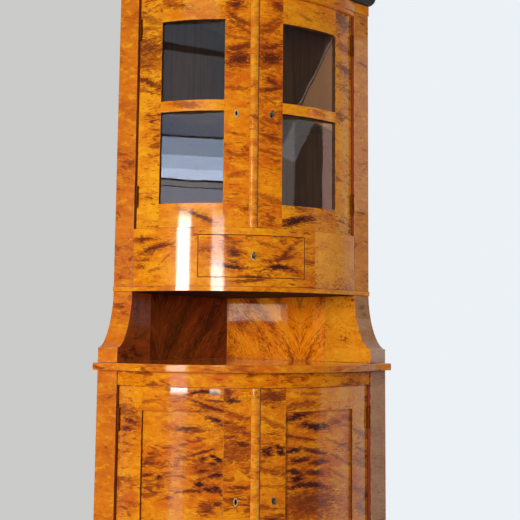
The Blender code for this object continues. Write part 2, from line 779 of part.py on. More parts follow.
def make_base():
    """Posts, boards, shelf and slab of the lower storey."""
    pair("base_pilaster", post_outline(BASE), 0, BASE_TOP, FLAME_BIRCH)
    backs = pair("base_back", back_outline(BASE), 0, BASE_TOP, PINE)

    def board_end(sign):
        return lambda offset: sign * BASE.edge_x(offset, GAP)
    ends = board_end(-1), board_end(1)
    as_part(prism("base_plinth", BASE.leaf(-REVEAL, PLINTH_BOARD, *ends),
                  0, PLINTH_HEIGHT), FLAME_BIRCH)
    as_part(prism("base_bottom_board", inner_board(BASE, -REVEAL),
                  BOTTOM_Z, BOTTOM_Z + BOTTOM_BOARD), BIRCH_SHADE)
    as_part(prism("base_top_rail", BASE.leaf(-BASE_RAIL_SETBACK, BASE_RAIL_BOARD, *ends),
                  BASE_RAIL_Z, BASE_TOP), FLAME_BIRCH)
    shelf(BASE, "base_shelf", BOTTOM_Z + BOTTOM_BOARD + BASE_SHELF_RISE, backs)
    corner = [wall(0, 0)]
    slab = prism("slab", whole(BASE.front_line(SLAB_OVERHANG) + corner), SLAB_Z, NICHE_Z)
    rounding = slab.modifiers.new("rounded_edge", "BEVEL")
    rounding.width = SLAB_ROUNDING
    rounding.segments = 2
    rounding.limit_method = "ANGLE"
    rounding.angle_limit = SLAB_CORNER
    as_part(slab, FLAME_BIRCH)


def shelf(storey, name, z, backs):
    as_part(prism(name, shelf_outline(storey, 0), z, z + SHELF), PINE)
    for back in backs:
        groove = prism(back.name + "_groove", shelf_outline(storey, GAP), z - GAP, z + SHELF + GAP)
        cut(back, groove)


def cheek_ring(flare, z):
    """Plan of the right cheek at one level; flare runs from 0 at the top to 1 at the foot."""
    outer = UPPER.outer_edge.lerp(BASE.outer_edge, flare)
    inner = UPPER.inner_edge.lerp(BASE.inner_edge, flare)
    at_board = wall(CHEEK_REACH, BACK_BOARD + GAP)
    side = (UPPER.inner_edge - at_board).normalized()
    away = Vector((-side.y, side.x))
    behind = meet(at_board + CHEEK_SIDE * away, side, wall(0, BACK_BOARD + GAP), WALL_OUT)
    notch = UPPER.wall_reach - POST_CHEEK
    hollow = meet(behind, side, UPPER.inner_edge + POST_CHEEK * UPPER.face_back, UPPER.face)
    by_board = meet(hollow, UPPER.face, wall(0, BACK_BOARD + GAP), WALL_OUT)
    ring = [outer, inner, at_board, behind, hollow, by_board,
            wall(notch, BACK_BOARD + GAP), wall(notch, 0)]
    return [(p.x, p.y, z) for p in ring]


def make_cheeks():
    """The niche's cheeks, flared forwards and outwards down to their foot blocks."""
    foot, top = NICHE_Z + GAP, SOFFIT_Z - GAP
    block_top = foot + FOOT_BLOCK
    rings = [cheek_ring(1, foot)]
    for step in range(FLARE_RINGS + 1):
        rise = (step / FLARE_RINGS) ** FLARE_SPACING
        fall = 1 - rise
        flare = 1 - (1 - fall ** FLARE_POWER) ** (1 / FLARE_POWER)
        rings.append(cheek_ring(flare, block_top + rise * (top - block_top)))
    as_part(loft("upper_cheek_right", rings), FLAME_BIRCH)
    mirror = [[(-x, y, z) for x, y, z in ring] for ring in rings]
    as_part(loft("upper_cheek_left", mirror), FLAME_BIRCH)


def make_upper():
    """Boards, posts, apron, frieze and shelf of the upper storey."""
    make_cheeks()
    backs = pair("upper_back", back_outline(UPPER), NICHE_Z + GAP, CORNICE_Z - GAP, BIRCH_SHADE)
    pair("upper_pilaster", post_outline(UPPER), APRON_Z, FRIEZE_Z - GAP, FLAME_BIRCH)
    make_soffit()

    def board_end(sign):
        return lambda offset: sign * UPPER.edge_x(offset, GAP)
    ends = board_end(-1), board_end(1)
    apron = prism("apron", UPPER.leaf(0, APRON_BOARD, *ends), APRON_Z, APRON_TOP)
    before = UPPER.centre.y - UPPER.radius - CUTTER_REACH
    cut(apron, block("drawer_opening", (-DRAWER_WIDTH / 2, before, DRAWER_OPENING_Z),
                     (DRAWER_WIDTH / 2, UPPER.inner_edge.y,
                      DRAWER_OPENING_Z + DRAWER_OPENING_HEIGHT)))
    as_part(apron, FLAME_BIRCH)
    deck = prism("deck_board", inner_board(UPPER, -APRON_BOARD - GAP), APRON_TOP - DECK, APRON_TOP)
    as_part(deck, BIRCH_SHADE)
    shelf(UPPER, "upper_shelf", APRON_TOP + UPPER_SHELF_RISE, backs)
    rear = notched(UPPER, UPPER.front_line(FRIEZE_OVERHANG - FRIEZE_BOARD))
    frieze = prism("frieze", band(UPPER.front_line(FRIEZE_OVERHANG), rear),
                   FRIEZE_Z, CORNICE_Z - GAP)
    fuse(frieze, prism("frieze_rail", UPPER.leaf(0, APRON_BOARD - FRIEZE_OVERHANG, *ends),
                       RAIL_Z, FRIEZE_Z + RAIL_HEIGHT))
    as_part(frieze, FLAME_BIRCH)
    lap = FRIEZE_OVERHANG - FRIEZE_BOARD + TOP_LAP
    top = whole(UPPER.front_line(lap) + [wall(0, 0)])
    as_part(prism("top_board", top, CORNICE_Z, CORNICE_Z + TOP_BOARD), PINE)
    make_cornice(lap + 2 * GAP)
    return deck


def make_soffit():
    """The board under the drawer, its runners glued on."""
    reach = UPPER.board_reach + GAP
    corner = Vector((0, wall(0, 0).y - (BACK_BOARD + GAP) * math.sqrt(2)))
    ends = [wall(reach, 0), wall(reach, BACK_BOARD + GAP), corner]
    top = SOFFIT_Z + SOFFIT
    board = prism("soffit_board", whole(UPPER.front_line(SOFFIT_OVERHANG) + ends), SOFFIT_Z, top)
    outside = DRAWER_HALF - DRAWER_SIDE_INSET + PLAY
    inside = outside - RUNNER_LEDGE
    lip = outside + RUNNER_LIP
    front = UPPER.bow(-APRON_BOARD - GAP, 0, lip)[-1].y
    rear = wall(0, 0).y - lip - (BACK_BOARD + PLAY) * math.sqrt(2)
    low = top - SOFFIT / 2
    for side, where in ((-1, "left"), (1, "right")):
        xs = sorted((side * inside, side * lip))
        ledge = block(f"runner_{where}_ledge", (xs[0], front, low), (xs[1], rear, DRAWER_Z - GAP))
        xs = sorted((side * outside, side * lip))
        guide = block(f"runner_{where}_lip", (xs[0], front, low),
                      (xs[1], rear, DRAWER_Z + RUNNER_LIP_HEIGHT))
        fuse(board, ledge, guide)
    as_part(board, BIRCH_SHADE)


def make_cornice(back):
    """A half-round moulding along the whole front, from wall to wall."""
    rings = []
    for turn in np.linspace(-math.pi / 2, math.pi / 2, CORNICE_RINGS):
        offset = FRIEZE_OVERHANG + CORNICE_OVERHANG * math.cos(turn)
        z = CORNICE_Z + CORNICE_HEIGHT * (1 + math.sin(turn)) / 2
        outline = band(UPPER.front_line(offset), UPPER.front_line(back))
        rings.append([(p.x, p.y, z) for p in outline])
    as_part(loft("cornice", rings), EBONISED)


def make_drawer(deck):
    """Curved front, box, bottom and lock of the drawer, which slides along Y."""
    def straight(x):
        return lambda offset: x
    front = prism("drawer_front", UPPER.leaf(0, DRAWER_FRONT, straight(-DRAWER_HALF),
                                             straight(DRAWER_HALF)),
                  DRAWER_Z, DRAWER_Z + DRAWER_HEIGHT)
    as_part(front, FLAME_BIRCH)
    outside = DRAWER_HALF - DRAWER_SIDE_INSET
    inside = outside - DRAWER_SIDE
    rear = wall(0, 0).y - outside - BACK_BOARD * math.sqrt(2) - DRAWER_BACK_CLEARANCE
    meets = -DRAWER_FRONT - GAP
    ends = UPPER.bow(meets, inside, outside)
    side = ends + [Vector((outside, rear))]
    hollow = [Vector((inside, rear - DRAWER_SIDE))]
    outline = side + mirrored(side) + mirrored(hollow) + hollow
    box = prism("drawer_box", outline, DRAWER_Z, DRAWER_Z + DRAWER_HEIGHT - DRAWER_SIDE_DROP)
    as_part(box, PINE)
    width = inside - GAP
    floor = UPPER.bow(meets, -width, width) \
        + [Vector((width, rear - DRAWER_SIDE - GAP)), Vector((-width, rear - DRAWER_SIDE - GAP))]
    low = DRAWER_Z + DRAWER_BOTTOM_RISE
    bottom = as_part(prism("drawer_bottom", floor, low, low + DRAWER_BOTTOM), PINE)
    frame = keyhole_frame(UPPER, 0, 0, DRAWER_KEYHOLE_Z)
    plate = escutcheon("drawer_escutcheon", frame)
    cut(front, *keyhole_cutters("drawer_keyhole", frame, 2 * DRAWER_FRONT))
    seat = lock_seat(UPPER, frame, 0, DRAWER_FRONT, LOCK_ABOVE)
    upright = frame @ Matrix.Rotation(math.pi / 2, 4, "Y")
    case, bolt = lock("drawer_lock", upright, seat, DRAWER_LOCK_REACH)
    turned = key("drawer_key", frame, seat)
    carry(front, box, bottom, plate, case, bolt, turned)
    rear_y = frame.translation.y + seat + LOCK_CASE
    side_x = BOLT_RISE - BOLT_HEIGHT / 2
    thrown = DRAWER_KEYHOLE_Z + DRAWER_LOCK_REACH + BOLT_THROW
    mortise = block("bolt_mortise", (side_x - PLAY, frame.translation.y, APRON_TOP - DECK - PLAY),
                    (side_x + BOLT_HEIGHT + PLAY, rear_y, thrown + PLAY))
    cut(deck, mortise)


def make_doors():
    """Both pairs of doors, hung and locked."""
    leaves = [glazed_door("upper_door_left", -1), glazed_door("upper_door_right", 1)]
    strip = bead("upper_bead", UPPER, UPPER_DOOR_Z, UPPER_DOOR_HEIGHT)
    fittings = door_locks("upper", UPPER, UPPER_DOOR_Z, UPPER_KEYHOLE_RISE,
                          [frame for frame, _ in leaves])
    for side, (frame, panes) in zip((-1, 1), leaves):
        riders = panes + fittings[side] + ([strip] if side < 0 else [])
        hang(UPPER, side, UPPER_DOOR_Z, UPPER_DOOR_HEIGHT, frame.name[:-6], frame, riders)
    leaves = [panelled_door("base_door_left", -1), panelled_door("base_door_right", 1)]
    strip = bead("base_bead", BASE, BASE_DOOR_Z, BASE_DOOR_HEIGHT)
    fittings = door_locks("base", BASE, BASE_DOOR_Z, BASE_KEYHOLE_RISE,
                          [frame for frame, _ in leaves])
    for side, (frame, panel) in zip((-1, 1), leaves):
        riders = [panel] + fittings[side] + ([strip] if side < 0 else [])
        hang(BASE, side, BASE_DOOR_Z, BASE_DOOR_HEIGHT, frame.name[:-6], frame, riders)


clear_scene()
PARTS = collection("corner_cabinet")
CUTTERS = collection("cutters")
make_base()
make_drawer(make_upper())
make_doors()
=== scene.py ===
"""Looks of the bow-fronted corner cabinet: smooth veneered surfaces, finishes, light, camera.

Each curved board is a grid worked out on the bow's arc, and takes the place of the faceted
solid of the same piece. A veneer's map is in metres: along the bow from the cabinet's middle,
and up from the floor, so that the figure lies where it grew on the real cabinet.
"""
import logging
import math
from dataclasses import dataclass, field, replace
from enum import Enum
from functools import cache
from typing import Callable, NamedTuple, Sequence, Union

import bpy
import numpy as np
from mathutils import Matrix


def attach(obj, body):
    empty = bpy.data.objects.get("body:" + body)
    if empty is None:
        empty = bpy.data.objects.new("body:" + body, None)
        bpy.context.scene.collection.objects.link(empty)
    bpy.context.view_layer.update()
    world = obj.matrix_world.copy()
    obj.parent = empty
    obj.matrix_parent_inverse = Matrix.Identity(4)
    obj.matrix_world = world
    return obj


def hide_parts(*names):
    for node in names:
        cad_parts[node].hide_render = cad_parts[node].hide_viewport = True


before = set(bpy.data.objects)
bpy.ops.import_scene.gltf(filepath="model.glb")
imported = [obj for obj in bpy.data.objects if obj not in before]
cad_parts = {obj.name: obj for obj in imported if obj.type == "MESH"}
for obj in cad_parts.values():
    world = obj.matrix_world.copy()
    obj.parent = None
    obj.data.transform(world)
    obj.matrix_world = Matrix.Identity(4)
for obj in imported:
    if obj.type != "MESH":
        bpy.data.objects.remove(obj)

logging.basicConfig(level=logging.INFO, format="%(message)s")
LOG = logging.getLogger("cabinet")

Array = np.ndarray
Triple = tuple[float, float, float]
Socket = bpy.types.NodeSocket
Value = Union[Socket, float, tuple]
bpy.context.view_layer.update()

GAP = 0.0003
PLAY = 0.001
STEP = 0.006            # spacing of the grids along a bow
FACE_STEPS = 8          # points along a moulding's canted face
DECIMALS = 7            # at which two heights are one
CREASE = math.radians(35)       # the least turn of an edge that is rounded
KEYHOLE_RADIUS = 0.0033
KEYHOLE_DROP = 0.0088


# --------------------------------------------------------------------------- plan of the bow

@dataclass(frozen=True)
class Storey:
    """Plan of one storey's front: a bow between two canted pilaster faces."""

    wall_reach: float
    face_width: float
    sag: float
    cant: float
    corner_y: float = 0.3397617
    board: float = 0.015    # thickness of the back boards
    notch: float = 0.022    # from the wall's end to where a back board ends

    @property
    def inner_x(self) -> float:
        """The pilaster's inner front edge, from the middle."""
        return self.wall_reach / math.sqrt(2) - self.face_width * math.cos(self.cant)

    @property
    def radius(self) -> float:
        """Radius of the bow."""
        return (self.inner_x ** 2 + self.sag ** 2) / (2 * self.sag)

    @property
    def centre_y(self) -> float:
        """Where the bow's centre lies on the middle plane."""
        depth = self.wall_reach / math.sqrt(2) + self.face_width * math.sin(self.cant)
        return self.corner_y - depth - self.sag + self.radius

    @property
    def centre(self) -> Array:
        """The bow's centre in plan."""
        return np.array([0.0, self.centre_y])

    @property
    def end_angle(self) -> float:
        """Half the angle that the bow spans."""
        return math.asin(self.inner_x / self.radius)

    @property
    def radial(self) -> Array:
        """Direction of the right reveal, outwards."""
        return np.array([math.sin(self.end_angle), -math.cos(self.end_angle)])

    @property
    def face(self) -> Array:
        """Direction along the right pilaster's face, outwards."""
        return np.array([math.cos(self.cant), math.sin(self.cant)])

    @property
    def way(self) -> Array:
        """Direction along the right wall, outwards."""
        return self.wall(1, 0) - self.wall(0, 0)

    @property
    def inner_edge(self) -> Array:
        """Plan position of the right pilaster's inner edge."""
        return self.centre + self.radius * self.radial

    @property
    def outer_edge(self) -> Array:
        """Plan position of the right pilaster's outer edge, on the wall."""
        return self.wall(self.wall_reach, 0.0)

    @property
    def notched(self) -> list[Array]:
        """The notch for the right back board: its corner on the wall, and the one inwards."""
        along = self.wall_reach - self.notch
        return [self.wall(along, 0), self.wall(along, self.board + GAP)]

    def wall(self, along: float, inward: float) -> Array:
        """A point by the right wall.

        Args:
            along: distance from the room's corner along the wall.
            inward: distance from the wall.

        Returns:
            The point in plan.
        """
        half = math.sqrt(0.5)
        return np.array([(along - inward) * half, self.corner_y - (along + inward) * half])

    def by_board(self, point: Array, way: Array) -> Array:
        """Where a line meets the inner face of the right back board."""
        return meet(point, way, self.wall(0, self.board + GAP), self.way)

    def plan(self, angles: Array, out: float) -> Array:
        """Points on the bow: x = (R + out) sin a, y = centre - (R + out) cos a.

        Args:
            angles: angles from the middle, positive to the right.
            out: distance outwards of the bow.

        Returns:
            Plan points, one row each.
        """
        reach = self.radius + out
        return np.stack([reach * np.sin(angles), self.centre_y - reach * np.cos(angles)], axis=-1)

    def at_x(self, x: float, out: float) -> float:
        """Angle at which the bow, set outwards, meets a value of x."""
        return math.asin(x / (self.radius + out))

    def cut(self, x: float, front: float, back: float) -> "Cut":
        """A breakpoint square to the middle plane, at a value of x."""
        return Cut(self.at_x(x, front), self.at_x(x, back))

    def end(self, front: float, back: float, clearance: float) -> "Cut":
        """Where a board on the bow stops, square to the right reveal and short of it.

        Args:
            front: distance of the board's face outwards of the bow.
            back: the same of its back.
            clearance: distance from the pilaster's reveal.

        Returns:
            The angles, to the right of the middle.
        """
        far, short = math.sin(self.end_angle), clearance * math.cos(self.end_angle)
        return Cut(*(self.at_x((self.radius + out) * far - short, out) for out in (front, back)))

    def front_line(self, out: float) -> Array:
        """Right half of the front's outline, set outwards: the bow, then the canted face.

        Args:
            out: distance outwards of the storey's front.

        Returns:
            Plan points from the middle to the wall.
        """
        reach = self.radius * math.cos(self.end_angle - self.cant) + out
        join = self.cant + math.acos(reach / (self.radius + out))
        points = self.plan(np.linspace(0, join, int(join * self.radius / STEP)), out)
        last = meet(points[-1], self.face, self.wall(0, 0), self.way)
        steps = np.linspace(0, 1, FACE_STEPS)[1:, None]
        return np.vstack([points, points[-1] + steps * (last - points[-1])])


def meet(p: Array, u: Array, q: Array, v: Array) -> Array:
    """Where the line through p along u meets the line through q along v.

    Args:
        p: a point of the first line.
        u: its direction.
        q: a point of the second line.
        v: its direction.

    Returns:
        The crossing in plan.
    """
    gap = q - p
    return p + u * ((gap[0] * v[1] - gap[1] * v[0]) / (u[0] * v[1] - u[1] * v[0]))


def mirrored(points: Array) -> Array:
    """The same outline on the other side, turned so that it runs the same way round."""
    return (points * np.array([-1.0, 1.0]))[::-1]


def whole(right: Array) -> Array:
    """A closed outline from its right half, which starts and ends on the middle plane."""
    left = mirrored(right)
    return np.vstack([right, left[np.round(left[:, 0], DECIMALS) < 0]])


def band(front: Array, rear: Array) -> Array:
    """A closed outline from the right halves of its front and of its rear line."""
    return np.vstack([mirrored(front)[:-1], front,
                      np.vstack([mirrored(rear)[:-1], rear])[::-1]])


BASE = Storey(wall_reach=0.6588, face_width=0.0655, sag=0.165, cant=math.radians(25))
UPPER = Storey(wall_reach=0.5984, face_width=0.0636, sag=0.127, cant=math.radians(24))


# --------------------------------------------------------------------------- mesh building

def lift(points: Array, levels: Array) -> Array:
    """A grid (i, j) of plan point i at level j.

    Args:
        points: plan points.
        levels: heights.

    Returns:
        The grid, (points, levels, 3).
    """
    grid = np.empty((len(points), len(levels), 3))
    grid[:, :, :2], grid[:, :, 2] = points[:, None], levels
    return grid


class Shell:
    """Gathers grids and faces of one piece, with their map in metres and their finish."""

    def __init__(self) -> None:
        """Start with no points and no faces."""
        self.points: list[Array] = []
        self.faces: list[list[int]] = []
        self.maps: list[Array] = []
        self.slots: list[int] = []
        self.count = 0

    def number(self, points: Array) -> Array:
        """Keep a grid of points.

        Args:
            points: places, in an array whose last axis is three long.

        Returns:
            The points' numbers, in the grid's own shape.
        """
        first = self.count
        self.points.append(points.reshape(-1, 3))
        self.count += len(self.points[-1])
        return np.arange(first, self.count).reshape(points.shape[:-1])

    def add_quads(self, quads: Array, uv: Array, slot: int | Array = 0) -> None:
        """Keep quads.

        Args:
            quads: numbers of the corners, (n, 4).
            uv: map of the corners, (n, 4, 2).
            slot: number of the finish, one for all or one each.
        """
        self.faces += quads.tolist()
        self.maps.append(uv.reshape(-1, 2))
        self.slots += np.broadcast_to(slot, len(quads)).tolist()

    def add_polygon(self, corners: Array, uv: Array, slot: int = 0) -> None:
        """Keep one face of any number of corners.

        Args:
            corners: numbers of the corners in order.
            uv: map of the corners, (n, 2).
            slot: number of the finish.
        """
        self.faces.append(corners.tolist())
        self.maps.append(uv)
        self.slots.append(slot)

    def cells(self, index: Array, uv: Array, chosen: Array, backwards: bool = False,
              slot: int = 0) -> None:
        """Quads of the chosen cells of a grid.

        Args:
            index: numbers of the grid's points.
            uv: map of the grid's points.
            chosen: which cells to make.
            backwards: whether they face away from the front.
            slot: number of the finish.
        """
        i, j = np.nonzero(chosen)
        corners = [(i, j), (i + 1, j), (i + 1, j + 1), (i, j + 1)][::-1 if backwards else 1]
        self.add_quads(np.stack([index[c] for c in corners], axis=1),
                       np.stack([uv[c] for c in corners], axis=1), slot)

    def walls(self, near: Array, far: Array, uv: Array, filled: Array, slot: int) -> None:
        """Walls between two layers of a grid, wherever a filled cell meets an empty one.

        Args:
            near: numbers of the front layer's points.
            far: numbers of the back layer's points.
            uv: map of the grid's points.
            filled: which cells are filled.
            slot: number of the walls' finish.
        """
        padded = np.pad(filled, 1)
        for across in (True, False):
            middle = padded[:, 1:-1] if across else padded[1:-1]
            before, after = (middle[:-1], middle[1:]) if across else (middle[:, :-1],
                                                                      middle[:, 1:])
            for ahead in (False, True):
                i, j = np.nonzero((after != before) & (after != ahead))
                here, there = (i, j), ((i, j + 1) if across else (i + 1, j))
                corners = [(near, here), (far, here), (far, there), (near, there)]
                if not across:
                    corners = [corners[0], *corners[:0:-1]]
                if not ahead:
                    corners = corners[::-1]
                self.add_quads(np.stack([layer[place] for layer, place in corners], axis=1),
                               np.stack([uv[place] for _, place in corners], axis=1), slot)

    def loft(self, rings: Array, slots: Sequence[int] = (0,), start: float = 0.0,
             cap_slot: int = 0, side_slots: dict[int, Sequence[int]] | None = None) -> "Shell":
        """Closed rings joined in turn: point (i, j) is point j of ring i.

        Args:
            rings: (rings, points, 3), counter-clockwise seen from above, rising.
            slots: finish of each storey between two rings; the last holds for the rest.
            start: map value of the rings' first point.
            cap_slot: finish of the two ends.
            side_slots: finishes of single sides, storey by storey as in slots, by the number
                of the side's first point.

        Returns:
            The shell.
        """
        storeys, number = np.arange(len(rings) - 1), rings.shape[1]
        index = self.number(rings)
        after = np.roll(index, -1, axis=1)
        lengths = np.linalg.norm(np.roll(rings[0], -1, axis=0) - rings[0], axis=1)
        along = start + np.concatenate([[0.0], np.cumsum(lengths)])
        rise = np.linalg.norm(np.diff(rings[:, 0], axis=0), axis=1)
        level = rings[0, 0, 2] + np.concatenate([[0.0], np.cumsum(rise)])
        quads = np.stack([index[:-1], after[:-1], after[1:], index[1:]], axis=-1)
        u = np.stack([along[:-1], along[1:], along[1:], along[:-1]], axis=-1)
        v = np.stack([level[:-1], level[:-1], level[1:], level[1:]], axis=-1)
        uv = np.stack(np.broadcast_arrays(u[None], v[:, None]), axis=-1)
        table = np.repeat(np.take(slots, storeys, mode="clip")[:, None], number, axis=1)
        for side, given in (side_slots or {}).items():
            table[:, side] = np.take(given, storeys, mode="clip")
        self.add_quads(quads.reshape(-1, 4), uv.reshape(-1, 4, 2), table.ravel())
        self.add_polygon(index[0, ::-1], rings[0, ::-1, :2], cap_slot)
        self.add_polygon(index[-1], rings[-1, :, :2], cap_slot)
        return self

    def extrude(self, outline: Array, levels: Sequence[float], **options: object) -> "Shell":
        """A closed outline carried upwards, with loft's options: ring i is at level i."""
        return self.loft(lift(outline, np.asarray(levels)).swapaxes(0, 1), **options)

    def box(self, low: Triple, high: Triple, slot: int = 0) -> None:
        """A block between two corners."""
        outline = np.array([low[:2], (high[0], low[1]), high[:2], (low[0], high[1])])
        self.extrude(outline, (low[2], high[2]), slots=(slot,), cap_slot=slot)

    def build(self, name: str, materials: Sequence[bpy.types.Material], rounding: float = 0.0,
              arris: int | None = None, segments: int = 2) -> bpy.types.Object:
        """Make the piece's object, with rounded arrises.

        Args:
            name: name of the object.
            materials: finishes by slot.
            rounding: width of the rounded arris; none at 0.
            arris: slot of the arris's own finish.
            segments: steps of the rounding.

        Returns:
            The object, at the origin.
        """
        mesh = bpy.data.meshes.new(name)
        mesh.from_pydata(np.concatenate(self.points).tolist(), [], self.faces)
        layer = mesh.uv_layers.new(name="UVMap")
        layer.data.foreach_set("uv", np.concatenate(self.maps).astype(np.float32).ravel())
        mesh.polygons.foreach_set("material_index", np.array(self.slots, np.int32))
        mesh.validate()
        mesh.shade_smooth()
        mesh.update()
        obj = bpy.data.objects.new(name, mesh)
        bpy.context.scene.collection.objects.link(obj)
        for material in materials:
            mesh.materials.append(material)
        if rounding:
            bevel = obj.modifiers.new("arris", "BEVEL")
            bevel.width, bevel.segments = rounding, segments
            bevel.limit_method, bevel.angle_limit = "ANGLE", CREASE
            bevel.harden_normals = bevel.use_clamp_overlap = True
            if arris is not None:
                bevel.material = arris
        return obj


class Cut(NamedTuple):
    """A breakpoint across a curved board: its angle at the front and at the back."""

    front: float
    back: float

    @property
    def left(self) -> "Cut":
        """The same breakpoint on the other side."""
        return Cut(-self.front, -self.back)


class Hole(NamedTuple):
    """An opening through a board, between two breakpoints and two heights."""

    left: int
    right: int
    low: float
    high: float


def keyhole(left: int, z: float) -> Hole:
    """A keyhole that starts at a breakpoint, with its round part at a height."""
    return Hole(left, left + 1, z - KEYHOLE_DROP, z + KEYHOLE_RADIUS)


@dataclass
class CurvedBoard:
    """A board on a storey's bow, with openings and, behind them, rebates.

    Column i stands at its own angle; the front point is on the bow set outwards by front, the
    back point on the bow set outwards by back, and the seat between them carries the rebates.
    """

    storey: Storey
    front: float
    back: float
    cuts: list[Cut]
    low: float
    high: float
    holes: list[Hole] = field(default_factory=list)
    rebates: list[Hole] = field(default_factory=list)
    seat: Callable[[Array], Array] | None = None
    slot_of: Callable[[Array, Array], Array] | None = None
    wall_slot: int = 0

    def columns(self) -> tuple[Array, Array, list[int]]:
        """Spread columns between the breakpoints: angle = a + share (b - a).

        Returns:
            Angles at the front and at the back, and the columns of the breakpoints.
        """
        angles, places = [], [0]
        for a, b in zip(self.cuts, self.cuts[1:]):
            count = max(1, int(round((b.front - a.front) * self.storey.radius / STEP)))
            share = np.arange(count)[:, None] / count
            angles.append(a + share * (np.array(b) - a))
            places.append(places[-1] + count)
        return *np.vstack([*angles, self.cuts[-1]]).T, places

    def filled(self, places: list[int], levels: Array, holes: list[Hole]) -> Array:
        """Which cells hold wood: all but those inside a hole.

        Args:
            places: columns of the breakpoints.
            levels: heights of the rows.
            holes: the openings.

        Returns:
            True or false for each cell.
        """
        cells = np.ones((places[-1], len(levels) - 1), bool)
        middle = (levels[1:] + levels[:-1]) / 2
        for hole in holes:
            inside = (middle > hole.low) & (middle < hole.high)
            cells[places[hole.left]:places[hole.right], inside] = False
        return cells

    def fill(self, shell: Shell | None = None) -> Shell:
        """Put the board's closed surface into a shell.

        Args:
            shell: takes the surface; a new one if there is none.

        Returns:
            The shell.
        """
        shell = shell or Shell()
        fronts, backs, places = self.columns()
        edges = [edge for hole in self.holes + self.rebates for edge in hole[2:]]
        levels = np.unique(np.round([self.low, self.high, *edges], DECIMALS))
        before = self.storey.plan(fronts, self.front)
        behind = self.storey.plan(backs, self.back)
        seats = self.seat(fronts) if self.seat else (before + behind) / 2
        at_front = self.filled(places, levels, self.holes)
        at_back = self.filled(places, levels, self.holes + self.rebates)
        near, seat, far = (shell.number(lift(points, levels))
                           for points in (before, seats, behind))
        along = fronts * (self.storey.radius + self.front)
        uv = np.stack(np.meshgrid(along, levels, indexing="ij"), axis=-1)
        slots = np.zeros(at_front.shape, int)
        if self.slot_of:
            slots = self.slot_of(*np.meshgrid((along[1:] + along[:-1]) / 2,
                                              (levels[1:] + levels[:-1]) / 2, indexing="ij"))
        for slot in np.unique(slots).tolist():
            here = slots == slot
            shell.cells(near, uv, at_front & here, False, slot)
            shell.cells(far, uv, at_back & here, True, slot)
            shell.cells(seat, uv, at_front & ~at_back & here, True, slot)
        shell.walls(near, seat, uv, at_front, self.wall_slot)
        shell.walls(seat, far, uv, at_back, self.wall_slot)
        return shell


def plain_board(storey: Storey, front: float, thickness: float, low: float, high: float,
                shell: Shell | None = None) -> Shell:
    """A board on a storey's bow, from post to post.

    Args:
        storey: the board's storey.
        front: its face, outwards of the bow.
        thickness: of the board.
        low: its bottom.
        high: its top.
        shell: takes the board; a new one if there is none.

    Returns:
        The shell.
    """
    end = storey.end(front, front - thickness, GAP)
    return CurvedBoard(storey, front, front - thickness, [end.left, end], low, high).fill(shell)


# --------------------------------------------------------------------------- shader graphs

def linear(colour: Triple) -> tuple[float, ...]:
    """A colour as it is seen, in the linear scale that shaders use.

    Args:
        colour: red, green and blue, 0 to 255.

    Returns:
        Linear red, green and blue, and 1 for opaque.
    """
    part = np.array(colour) / 255
    value = np.where(part <= 0.04045, part / 12.92, ((part + 0.055) / 1.055) ** 2.4)
    return (*value.tolist(), 1.0)


